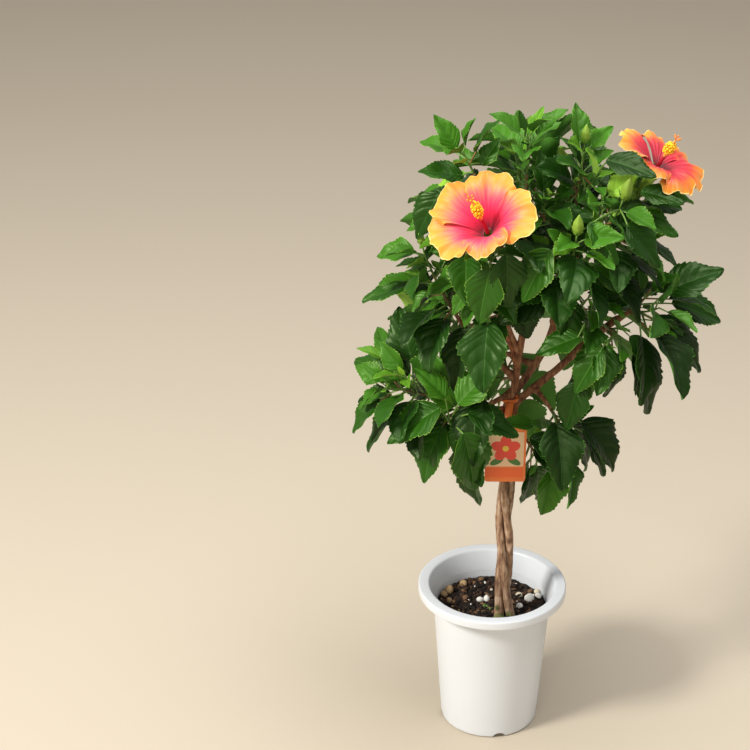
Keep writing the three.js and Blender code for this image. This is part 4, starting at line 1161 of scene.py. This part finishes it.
def shade(leaf, draw):
    """Which green a leaf has: young ones at the tips bright, painted light high and left, painted shade low and
    right.
    """
    from_middle = (leaf["base"] - CROWN_CENTRE) / CROWN_REACH
    # Painted light and shade: besides its age, the leaf's height and side in the crown shift its green, lighter
    # high and on the left, darker low and on the right
    youth_and_light = 1 - leaf["age"] + 0.08 * from_middle[2] - 0.12 * from_middle[0] + 0.25 * (draw() - 0.5)
    return int(np.searchsorted(AGE_AND_LIGHT_STEPS, youth_and_light))


def nodes_of(masses, kind="foliage"):
    return [f"{kind}_{mass['name']}" for mass in masses]


def build_leaves(masses, looks):
    for name, members in SPRAYS.items():
        piece = Piece(name, looks)
        chosen = [mass for mass in masses if mass["name"] in members]
        for mass in chosen:
            draw = seeded(mass["seed"] + 5)
            for leaf in mass["leaves"] + mass["young"]:
                points, plan = leaf_mesh(leaf)
                # upper holds the leaf's age together with the painted light and shade of its place; the
                # underside's green follows it
                upper = shade(leaf, draw)
                rib = len(UPPER) + upper // 2
                under = len(UPPER + VEIN_AND_EDGE_GREENS) + (upper > 3)
                # Painted highlight: the margin strip takes the next paler vein green, or the palest, for light
                # seen through the leaf's edge
                edge = min(rib + 1, len(UPPER + VEIN_AND_EDGE_GREENS) - 1)
                look = np.array([upper, rib, under, upper if upper < 3 else rib, edge])
                tip_look = look[plan["tip_kinds"]]
                piece.add(points, plan["quads"], look[plan["kinds"]], plan["triangles"], tip_look, plan["rim"])
        piece.build("leaf", nodes_of(chosen))


# Bark and twigs


def bark_relief(line, radii, sides, seed, depth, bumps):
    """Streaks along the stem, small raised pores and the scars of old leaves."""
    lengths = distances(line)[:, None]
    whole = float(lengths[-1, 0])
    angle = turns(sides)
    girth = np.mean(radii)
    x = np.broadcast_to(girth * np.cos(angle), (len(line), sides))
    y = np.broadcast_to(girth * np.sin(angle), (len(line), sides))
    place = np.stack([x, y, np.broadcast_to(lengths, x.shape)], axis=-1)
    relief = rough(place * (1, 1, 0.22), 2.6, seed) + 0.6 * rough(place * (1, 1, 0.4), 1.3, seed + 1)
    relief += 1.2 * rough(place, 14.0, seed + 2)
    draw = seeded(seed * 31)
    for _ in range(bumps):
        s = whole * draw()
        a = tau * draw()
        width = 0.8 + 0.7 * draw()
        turn = (angle - a + pi) % tau - pi
        relief += 1.6 * np.exp(-((lengths - s) / 0.55) ** 2 - (turn * girth / width) ** 2)
    scar = 14 * draw()
    while scar < whole:
        a = tau * draw()
        relief += 1.3 * np.exp(-((lengths - scar) / 1.1) ** 2) * (0.6 + 0.4 * np.cos(angle - a))
        scar += 13 + 16 * draw()
    return depth * relief


def build_stems(lines, looks):
    """The stems: mossy at the foot, brown where they twist and reddish above."""
    sides = 36
    for k, (name, stem) in enumerate(STEMS.items()):
        line = lines[name]
        height = line[:, 2]
        taper = (STRAND_RADIUS, STRAND_TOP_RADIUS, stem["tip"])
        radii = np.interp(height, (SOIL_LEVEL, TWIST_TOP, height[-1]), taper)
        radii += FLARE * np.exp((SOIL_LEVEL - height) / SPLAY_HEIGHT) * (height < TWIST_TOP)
        line, radii = even(line, radii, 1.6)
        line = np.array([line[0] - UP * 3, *line, line[-1] + unit(line[-1] - line[-2]) * 2.2])
        radii = np.array([radii[0] + 0.6, *radii, radii[-1] * 0.55])
        height = np.repeat(line[:-1, 2], sides)
        turn = np.tile(np.arange(sides), len(line) - 1)
        patches = rough(np.stack([turn * 0.8, height, turn * 0], axis=-1), 5.0, 21 + k)
        look = np.digitize(height + BARK_PATCH * patches, BARK_CHANGES)
        piece = Piece(name + "_bark", looks)
        tube(piece, line, radii, sides, look, bark_relief(line, radii, sides, 11 + k, 0.21, 120))
        piece.build("bark", [name])


def bough_line(mass, low, high, step):
    """The main twig from one share of its run to another, with its radii."""
    shares = low + (high - low) * np.arange(41) / 40
    line = np.array([point_at(mass["twigs"][0], t) for t in shares])
    girth = GIRTH * sqrt(sum(twig["leaves"] for twig in mass["twigs"][: 1 + mass["shoots"]]))
    return even(line, girth + (TWIG_TIP_RADIUS - girth) * shares, step)


def build_boughs(masses, looks):
    piece = Piece("boughs_bark", looks)
    for mass in masses:
        line, radii = bough_line(mass, 0.0, mass["twigs"][0]["bare"] + 0.06, 2.0)
        radii = radii * (1 + 0.5 * np.exp(-np.maximum(distances(line) - 5.0, 0) / 5.0))
        look = 0 if mass["number"] % 3 else 1
        tube(piece, line, radii, 18, look, bark_relief(line, radii, 18, 40 + mass["number"], 0.16, 14))
    piece.build("bark", nodes_of(masses, "bough"))


def build_twigs(masses):
    """The leafy twigs, their side twigs and the leaf stalks."""
    woody, green, stalk_green, stalk_red = range(4)
    piece = Piece("twigs", surfaces(
        ("twig_wood", "#6d5a32", 0.65), ("twig_green", "#5f8033", 0.5),
        ("stalk_green", "#6f9440", 0.45), ("stalk_red", "#8a6a3c", 0.45),
    ))
    for mass in masses:
        line, radii = bough_line(mass, mass["twigs"][0]["bare"], 1.0, 2.5)
        half = len(line) * 2 // 3
        low = line[:half + 1]
        tube(piece, low, radii[:half + 1], 10, woody, bark_relief(low, radii, 10, 80, 0.1, 4))
        tube(piece, line[half:], radii[half:] * 0.98, 10, green)
        for twig in mass["twigs"][1:]:
            line = curve(twig, 14)
            tube(piece, line, np.linspace(SHOOT_RADIUS, TWIG_TIP_RADIUS * 0.8, len(line)), 8, green)
        for leaf in mass["leaves"] + mass["young"]:
            line = curve(dict(start=leaf["root"], bend=leaf["bend"], end=leaf["base"] + leaf["way"] * 2), 7)
            wide = STALK_RADIUS["least"] + STALK_RADIUS["share"] * leaf["length"]
            look = stalk_red if leaf["chance"][6] > 0.7 and leaf["age"] > 0.5 else stalk_green
            tube(piece, line, wide * np.linspace(1.25, 0.8, len(line)), 6, look)
    piece.build("leaf", nodes_of(masses))


# Blooms


def petal_points(bloom, number, v, u, lift):
    """Points of a petal: v from the throat to the rim, u from one side to the other."""
    turn, length, droop, wide = bloom["petals"][number]
    axis, side, other = bloom_frame(bloom)
    half = PETAL_FOOT_HALF + (wide * PETAL_WIDEN - PETAL_FOOT_HALF) * np.sin(v * pi / 2)
    angle = np.radians(turn + u * half)
    crinkle = np.clip((v - 0.4) / 0.6, 0, 1)
    own = 2.3 * number + turn
    scallop = sum(size * np.sin(count * u + k * own) for size, count, k in SCALLOPS)
    corner = PETAL_NOTCH * np.abs(u) ** 7 * v * v
    span = v * (1 - PETAL_ROUNDING * u * u * v * v - corner) * (1 + crinkle * scallop)
    reach = THROAT_RADIUS + (length * bloom["trim"][number] - THROAT_RADIUS) * span
    rise = bloom["rise"] * np.sin(v * PETAL_ARCH) - droop * v * v + PETAL_SLANT * u * v
    wave = RUFFLE * v * v * np.sin(RUFFLES * angle)
    frill = crinkle ** 2 * sum(size * np.sin(count * u + k * own + drift * v) for size, count, k, drift in FRILLS)
    ribs = 0.42 * np.cos(tau * PETAL_RIBS * u * (1 - 0.3 * v)) * np.sin(pi * np.minimum(v * 1.1, 1))
    high = (rise + wave + frill + ribs + lift)[..., None]
    out = (reach * np.cos(angle))[..., None] * side + (reach * np.sin(angle))[..., None] * other
    return np.array(bloom["throat"]) + axis * high + out


def petal(piece, bloom, number):
    """A petal of two skins joined round the edge; its place gives the colour from the throat out to the rim."""
    rows = 34
    columns = 45
    v, u = np.meshgrid(np.linspace(0, 1, rows), np.linspace(-1, 1, columns), indexing="ij")
    thick = 0.34 - 0.2 * v
    skins = [petal_points(bloom, number, v, u, lift).reshape(-1, 3) for lift in (thick, -thick)]
    # Painted highlight: the edge row is set past the ramp's last stop, so the petal's rim takes mostly the palest
    # cream
    outward = np.where(v < 1, 0.88 * v * bloom["trim"][number] ** 1.5, 1.1)
    place = np.stack([(u + 1) / 2 + 3.7 * number, outward], axis=-1).reshape(-1, 2)
    faces = grid_quads(rows, columns)
    index = np.arange(rows * columns).reshape(rows, columns)
    border = np.concatenate([index[0], index[1:, -1], index[-1, -2::-1], index[-2:0:-1, 0]])
    following = np.roll(border, -1)
    edge = np.stack([border + rows * columns, following + rows * columns, following, border], axis=1)
    quads = np.concatenate([faces[:, ::-1], faces + rows * columns, edge])
    piece.add(np.concatenate(skins), quads, 0, place=np.concatenate([place, place]))


def column(piece, bloom):
    """The column of stamens that stands out of the throat, with its pollen and the five red pads."""
    foot, skin, thread, pollen, pad = range(5)
    way = unit(np.array(bloom["column"]))
    share = np.linspace(0, 1, 31)[:, None]
    line = np.array(bloom["throat"]) + way * (share * bloom["column_length"]) + UP * (1.5 * np.sin(pi * share))
    wide = np.interp(share[:, 0], *COLUMN_RADII)
    tube(piece, line[:13], wide[:13], 12, foot)
    tube(piece, line[12:], wide[12:], 12, skin)
    first, second = across(line)
    tips = []
    for k in range(STAMENS):
        i = int((0.5 + 0.36 * (k + 0.5) / STAMENS) * 30)
        out = first[i] * cos(k * GOLDEN) + second[i] * sin(k * GOLDEN) + way * 0.3
        bulge = sin(pi * (k + 0.5) / STAMENS) ** 0.5
        tips.append(line[i] + out * (1.6 + 2.7 * bulge + 0.9 * sin(5.1 * k)))
        tube(piece, np.linspace(line[i], tips[-1], 4), 0.24, 5, thread)
    balls(piece, tips, [1.15 + 0.25 * sin(3.7 * k) for k in range(STAMENS)], pollen, 5, 7)
    pads = line[-1] + way * 3.4 + spokes(line, 5)[-1] * 3.2
    for end in pads:
        tube(piece, np.linspace(line[-1], end, 4), 0.35, 5, pad)
    balls(piece, pads, [1.15] * 5, pad, 6, 8)


def cup(piece, foot, axis, look):
    """The ribbed cup of sepals under a bloom, whose lobes at the mouth are parted by notches."""
    sides = CUP_LOBES * 6
    heights = np.array(CUP_HEIGHTS)
    line, wide = even(foot + axis * heights[:, None], CUP_RADII, heights[-1] / 14)
    share = np.linspace(0, 1, len(line))[:, None]
    angle = turns(sides)
    saw = np.abs(((angle * CUP_LOBES / tau) % 1.0) - 0.5) * 2
    along = share * heights[-1] * (1 - CUP_NOTCH * saw * np.clip((share - 0.5) / 0.5, 0, 1))
    reach = wide[:, None] * (1 + 0.06 * np.cos(CUP_LOBES * angle)) * (1 + 0.12 * share ** 6)
    middle = foot + axis * along[..., None]
    out = spokes(line, sides)
    skins = np.concatenate([middle + out * reach[..., None], (middle + out * (reach - 0.5)[..., None])[::-1]])
    piece.add(skins, grid_quads(2 * len(line), sides, around=True, over=True), look)


def bracts(piece, foot, axis, length, wide, look):
    """Narrow leaves that stand round the foot of a cup."""
    share = np.linspace(0, 1, 8)[:, None]
    rise = length * (0.9 * share - 0.12 * share ** 2)
    for out in spokes(np.stack([foot, foot + axis]), BRACTS)[0]:
        curl = foot + out * (wide * 0.7 + share * length * 0.5) + axis * rise
        tube(piece, curl, np.interp(share[:, 0], *BRACT_RADII), 6, look)


def bud(piece, foot, axis, length, look):
    """A closed bud: a ribbed, twisted spindle."""
    share = np.linspace(0, 1, 22)[:, None]
    wide = np.interp(share, *BUD_RADII) * length
    ribs = 0.06 * wide * np.cos(5 * (turns(25) + 0.9 * share))
    tube(piece, foot + axis * (share * length), wide[:, 0], 25, look, ribs)


def build_blooms(masses):
    sepal, bract = range(2)
    greens = Piece("sepals", surfaces(("sepal", "#88a838", 0.5), ("bract", "#6c9039", 0.5)))
    column_looks = surfaces(
        ("column_foot", "#b5142c", 0.5), ("column", "#f0a046", 0.5), ("thread", "#f8d878", 0.5),
        ("pollen", "#fdc71e", 0.7), ("pad", "#f08a2c", 0.5),
    )
    in_bloom = [mass for mass in masses if mass["name"] in BLOOMS]
    in_bud = [mass for mass in masses if mass["name"] in BUDS]
    for mass in in_bloom:
        name = mass["name"]
        bloom = BLOOMS[name]
        petals = Piece(name + "_petals", [petal_look(name)])
        for k in range(len(bloom["petals"])):
            petal(petals, bloom, k)
        petals.build("leaf", nodes_of([mass]))
        stamens = Piece(name + "_column", column_looks)
        column(stamens, bloom)
        stamens.build("leaf", nodes_of([mass]))
        axis, _, _ = bloom_frame(bloom)
        foot = np.array(bloom["throat"]) - axis * CALYX
        end = mass["twigs"][0]["end"]
        way = way_at(mass["twigs"][0], 1.0)
        bend = end + way * (float(np.linalg.norm(foot - end)) * 0.4)
        line = curve(dict(start=end - way * 2, bend=bend, end=foot + axis * 2), 14)
        tube(greens, line, np.interp(np.linspace(0, 1, 15), (0, 0.9, 1), (1.25, 1.3, 1.9)), 10, bract)
        cup(greens, foot, axis, sepal)
        bracts(greens, foot + axis * 1.5, axis, 13, 4.5, bract)
    for mass in in_bud:
        size = BUDS[mass["name"]]
        places = bud_line(mass)
        axis = unit(places[-1] - places[0])
        tube(greens, [places[0], places[1] + axis], 0.9, 8, bract)
        bud(greens, places[1], axis, size, sepal)
        bracts(greens, places[1] + axis * 0.5, axis, size * 0.42, size * 0.12, bract)
    greens.build("leaf", sorted(nodes_of(in_bloom + in_bud)))


# The pot, its soil and the label


def inner_radius(z):
    return BASE_RADIUS - WALL + (BODY_TOP_RADIUS - BASE_RADIUS) * (z - FLOOR) / (BODY_TOP - FLOOR)


def rounded(corners, radius, steps):
    """The corners of a profile, each replaced by a bend of about one radius."""
    corners = np.array(corners, float)
    points = [corners[0]]
    for before, corner, after in zip(corners, corners[1:], corners[2:]):
        inward = corner - before
        onward = after - corner
        cut = min(radius, 0.45 * np.linalg.norm(inward), 0.45 * np.linalg.norm(onward))
        start = corner - unit(inward) * cut
        end = corner + unit(onward) * cut
        points += [bezier(start, corner, end, k / steps) for k in range(steps + 1)]
    return np.array([*points, corners[-1]])


def ring_points(radii, heights, sides):
    """Level rings of points round the upright axis."""
    angle = turns(sides)
    radii = np.asarray(radii)[:, None]
    x = radii * np.cos(angle)
    return np.stack([x, radii * np.sin(angle), np.broadcast_to(np.asarray(heights)[:, None], x.shape)], axis=-1)


def pot_profile():
    """The outline of the pot, from the middle of its underside round to the middle of its floor."""
    lip_foot = POT_HEIGHT - LIP_HEIGHT
    outer = rounded([
        (0, 0), (BASE_RADIUS - 3.6, 0), (BASE_RADIUS - 0.4, 1.0), (BASE_RADIUS + 0.1, 5),
        (BODY_TOP_RADIUS - 0.4, BODY_TOP - 6), (BODY_TOP_RADIUS, BODY_TOP),
        (BODY_TOP_RADIUS + 3.4, BODY_TOP + 2.2), (MOUTH_RADIUS + 2.4, POT_HEIGHT - 2.6),
        (RIM_RADIUS - 2.1, POT_HEIGHT - 2.4), (RIM_RADIUS - 1.9, lip_foot), (RIM_RADIUS - 0.2, lip_foot),
        (RIM_RADIUS, POT_HEIGHT), (MOUTH_RADIUS, POT_HEIGHT), (inner_radius(BODY_TOP), BODY_TOP),
    ], 2.2, 5)
    steps = []
    for z in np.arange(BODY_TOP - 3, SOIL_LEVEL - 12, -3.4):
        steps += [(inner_radius(z), z), (inner_radius(z) - 0.35, z - 1.0), (inner_radius(z) - 0.35, z - 2.0)]
    return np.concatenate([outer, steps, [(inner_radius(FLOOR), FLOOR), (0, FLOOR)]])


def build_pot():
    """The turned pot, with the half-round notches of its foot and its drain holes cut out."""
    look = surface("pot_white", "#e2e5e9", 0.34, Specular_IOR_Level=0.5)
    bump_by(look, noise(look, 500, 2), 0.0002, 0.12)
    piece = Piece("pot_shell", [look])
    profile = pot_profile()
    rings = ring_points(profile[1:-1, 0], profile[1:-1, 1], POT_SEGMENTS)
    add_rings(piece, rings, [UP * profile[0][1], UP * profile[-1][1]], 0)
    pot = piece.build("pot", ["pot"])
    cutters = []
    for turn in radians(NOTCH_TURN) + turns(NOTCH_COUNT):
        out = np.array([cos(turn), sin(turn), 0.0])
        inner = out * (DRAIN_PLACE - 6) - UP * NOTCH_SINK
        outer = inner + out * (BASE_RADIUS - DRAIN_PLACE + 12)
        drain = out * DRAIN_PLACE
        for name, line, radius, sides in (
            ("notch", (inner, outer), NOTCH_RADIUS, 48),
            ("drain", (drain - UP * 4, drain + UP * (FLOOR + 6)), DRAIN_RADIUS, 32),
        ):
            cutter = Piece(name, [look])
            tube(cutter, line, radius, sides, 0)
            cutters.append(cutter.build("pot"))
    for cutter in cutters:
        modifier = pot.modifiers.new("cut", "BOOLEAN")
        modifier.operation = "DIFFERENCE"
        modifier.solver = "EXACT"
        modifier.object = cutter
    cut = bpy.data.meshes.new_from_object(pot.evaluated_get(bpy.context.evaluated_depsgraph_get()))
    pot.modifiers.clear()
    pot.data = cut
    for cutter in cutters:
        bpy.data.objects.remove(cutter)
    cut.shade_smooth()
    cut.set_sharp_from_angle(angle=radians(38))


def soil_height(x, y):
    """The uneven top of the soil."""
    place = np.stack([x, y, np.zeros_like(x)], axis=-1)
    lumps = 1.6 * rough(place, 9.0, 5) + 1.0 * rough(place, 3.6, 6) + 0.5 * rough(place, 1.7, 7)
    return SOIL_LEVEL + 0.6 + lumps


def on_soil(x, y, lift):
    return np.array([x, y, float(soil_height(np.array([x]), np.array([y]))[0]) + lift])


def build_soil():
    """The soil: an uneven top over a plain plug, with chips of bark and crumbs."""
    dark, bark_chip, pale_chip, crumb = range(4)
    looks = surfaces(
        ("soil_dark", "#1c120b", 0.95), ("chip_brown", "#402817", 0.9), ("chip_pale", "#76583c", 0.9),
        ("crumb", "#28190f", 0.95),
    )
    bump_by(looks[dark], noise(looks[dark], 900, 5), 0.0015, 0.9)
    piece = Piece("soil_bed", looks)
    low = FLOOR + GAP
    wide = inner_radius(SOIL_LEVEL) - GAP * 2
    radii = [inner_radius(low) - GAP * 2, *np.linspace(0, wide, 46)[:0:-1]]
    rings = ring_points(radii, np.full(46, low), 120)
    rings[1:, :, 2] = soil_height(rings[1:, :, 0], rings[1:, :, 1])
    add_rings(piece, rings, [UP * low, on_soil(0.0, 0.0, 0.0)], dark)
    draw = seeded(4711)
    shape = ball_shape(5, 6)
    for i in range(SOIL_BITS):
        r = (wide - 3) * sqrt(draw())
        a = tau * draw()
        size = 1.0 + 3.8 * draw() ** 3
        look = (dark, crumb, bark_chip, pale_chip)[int(np.searchsorted((0.4, 0.7, 0.9), draw()))]
        stretch = np.array([1.0, 0.45 + 0.4 * draw(), 0.3 + 0.4 * draw()]) * size
        knobs = 1 + 0.3 * rough(shape[0] * 2.3 + i, 1.0, i)
        lump(piece, shape, on_soil(r * cos(a), r * sin(a), 0.25 * size), (1, 1, 0.7), knobs, stretch, draw, look)
    piece.build("soil", ["soil"])


def build_grains():
    """The white grains and the tan pebbles that lie on the soil."""
    piece = Piece("soil_grains", surfaces(
        ("grain_white", "#ece9e2", 0.8), ("grain_cream", "#d9cdb4", 0.8), ("grain_tan", "#ab8d66", 0.8),
        ("moss", "#5c7a34", 0.9),
    ))
    draw = seeded(99)
    shape = ball_shape(9, 12)
    placed = list(GRAINS)
    for _ in range(SMALL_GRAINS):
        r = 56 * sqrt(draw())
        a = tau * draw()
        placed.append((r * cos(a), r * sin(a), 1.6 + 2.4 * draw(), GRAIN_KINDS[int(3 * draw())]))
    for i, (x, y, size, kind) in enumerate(placed):
        knobs = 1 + 0.16 * rough(shape[0] * 1.4 + 3 * i, 1.0, i)
        stretch = np.array([1.0, 0.82 + 0.2 * draw(), 0.68 + 0.15 * draw()]) * size / 2
        look = GRAIN_KINDS.index(kind)
        lump(piece, shape, on_soil(float(x), float(y), 0.28 * size), 1, knobs, stretch, draw, look)
    piece.build("soil", ["soil"])


def plate(piece, outline, centre, depth, look):
    """A thin plate with that outline in x and z, standing out towards the front by depth."""
    back = centre + outline[:, :1] * EAST + outline[:, 1:] * UP
    middle = back.mean(axis=0)
    rim = np.arange(2 * len(outline) + 2) < 2 * len(outline)
    add_rings(piece, np.stack([back, back + FRONT * depth]), [middle, middle + FRONT * depth], look, rim)


def card_outline(width, height, corner, x=0.0, z=0.0):
    a = np.linspace(-pi / 2, 0, 9)
    points = []
    for k, (sx, sz) in enumerate(((1, -1), (1, 1), (-1, 1), (-1, -1))):
        middle = np.array([x + sx * (width / 2 - corner), z + sz * (height / 2 - corner)])
        points.append(middle + corner * np.stack([np.cos(a + k * pi / 2), np.sin(a + k * pi / 2)], axis=1))
    return np.concatenate(points)


def oval(width, height, x, z, tilt=0.0):
    a = turns(28)
    px = width / 2 * np.cos(a)
    pz = height / 2 * np.sin(a)
    return np.stack([x + px * cos(tilt) - pz * sin(tilt), z + px * sin(tilt) + pz * cos(tilt)], axis=1)


def build_label(stem):
    """The plant label: a card with a plain flower shape between two bands, a strap and a ring."""
    card, band, ground, flower, heart, leaf = range(6)
    piece = Piece("label", surfaces(
        ("label_card", "#ff8238", 0.4), ("label_band", "#ff6c2a", 0.4), ("label_ground", "#ffd3a6", 0.4),
        ("label_flower", "#fa4a34", 0.4), ("label_heart", "#ffd24c", 0.4), ("label_leaf", "#4a7d2e", 0.4),
    ))
    centre = np.array(TAG["centre"])
    width = TAG["width"]
    height = TAG["height"]
    half = TAG["thickness"] / 2
    plate(piece, card_outline(width, height, TAG["corner"]), centre - FRONT * half, TAG["thickness"], card)
    prints = [
        (card_outline(width - 3.0, 40, 1.0, -0.8, 3.0), 0.12, ground),
        (card_outline(width - 3.0, 11, 1.0, -0.8, -24.5), 0.14, band),
        *((oval(15, 7, -9 + 18 * k, -11.0, 0.5 - k), 0.16, leaf) for k in range(2)),
        *((oval(15, 11.5, 8 * cos(pi / 2 + a), 4 + 8 * sin(pi / 2 + a), pi / 2 + a), 0.2 + 0.03 * k, flower)
          for k, a in enumerate(turns(5))),
        (oval(6.5, 6.5, 0, 4), 0.4, heart),
    ]
    for outline, depth, look in prints:
        plate(piece, outline, centre + FRONT * (half - 0.02), depth, look)
    ring = at_height(stem, TAG["ring"])
    out = ring_points([1.0], [0.0], 48)[0]
    loop = ring + RING_RADIUS * out
    band_rings = [loop + out * a * 0.5 + UP * b * 1.9 for a, b in ((1, -1), (1, 1), (-1, 1), (-1, -1))]
    piece.add(band_rings, grid_quads(4, 48, around=True, over=True), card)
    strap(piece, ring + FRONT * (RING_RADIUS + 0.4), centre + UP * (height / 2 - 1.5), 8.0, 0.6, card)
    piece.build("tag", ["tag"])


def strap(piece, start, end, wide, thick, look):
    """A flat strap that bends from the ring down to the card."""
    share = np.linspace(0, 1, 12)[:, None]
    line = start + (end - start) * share + FRONT * np.sin(pi * share) * 1.5
    side = EAST * (wide / 2)
    out = np.cross(side, directions(line))
    out = out / np.linalg.norm(out, axis=1, keepdims=True) * (thick / 2)
    rings = np.stack([line + side - out, line - side - out, line - side + out, line + side + out], axis=1)
    last = (len(line) - 1) * 4
    ends = [(3, 2, 1, 0), (last, last + 1, last + 2, last + 3)]
    piece.add(rings, np.concatenate([grid_quads(len(line), 4, around=True), ends]), look)


# The whole shrub


def build_shrub():
    lines = {name: stem_line(stem) for name, stem in STEMS.items()}
    masses = grow_crown(lines)
    fill_out(lines, masses)
    barks = {name: bark_look(name) for name in BARKS}
    build_stems(lines, [barks["foot"], barks["trunk"], barks["bough"]])
    build_boughs(masses, [barks["bough"], barks["bough_red"]])
    build_twigs(masses)
    build_leaves(masses, leaf_looks())
    build_blooms(masses)
    build_pot()
    build_soil()
    build_grains()
    build_label(lines["stem_a"])


# Floor, light and camera


def softbox(name, place, target, size, power, color):
    """A square light at a place, turned to a target, both in metres."""
    light = bpy.data.lights.new(name, "AREA")
    light.size = size
    light.energy = power
    light.color = color
    thing = bpy.data.objects.new(name, light)
    bpy.context.scene.collection.objects.link(thing)
    way = np.array(target) - place
    thing.location = place
    thing.rotation_euler = (atan2(hypot(way[0], way[1]), -way[2]), 0.0, atan2(-way[0], way[1]))


def build_stage():
    bpy.context.scene.view_settings.view_transform = "Standard"
    reach = 8.0
    mesh = bpy.data.meshes.new("floor")
    corners = [(-reach, -reach, 0), (reach, -reach, 0), (reach, reach, 0), (-reach, reach, 0)]
    mesh.from_pydata(corners, [], [(0, 1, 2, 3)])
    mesh.materials.append(surface("floor_pale", "#c3b6a2", 0.8))
    floor = bpy.data.objects.new("floor", mesh)
    bpy.context.scene.collection.objects.link(floor)
    crown = (0.03, 0.0, 0.48)
    softbox("key", (-2.0, -1.2, 2.1), crown, 0.6, 84, (1.0, 0.98, 0.93))
    softbox("sky", (0.3, -0.2, 2.6), crown, 1.6, 52, (0.97, 0.98, 1.0))
    softbox("front", (-0.5, -2.6, 1.7), crown, 0.8, 9, (1.0, 0.99, 0.97))
    world = bpy.data.worlds.new("studio")
    world.use_nodes = True
    world.node_tree.nodes["Background"].inputs["Color"].default_value = (1.0, 0.98, 0.95, 1.0)
    world.node_tree.nodes["Background"].inputs["Strength"].default_value = 0.36
    bpy.context.scene.world = world


def build_camera():
    """The camera of the photograph, worked out from the ellipses of the pot's rim and foot."""
    camera = bpy.data.cameras.new("camera")
    camera.sensor_width = 36.0
    camera.lens = FOCAL_PIXELS / PHOTO_PIXELS * camera.sensor_width
    thing = bpy.data.objects.new("camera", camera)
    thing.location = np.array(CAMERA_PLACE) * MM
    thing.rotation_euler = (radians(90 - CAMERA_PITCH), 0.0, 0.0)
    bpy.context.scene.collection.objects.link(thing)
    bpy.context.scene.camera = thing


build_shrub()
build_stage()
build_camera()
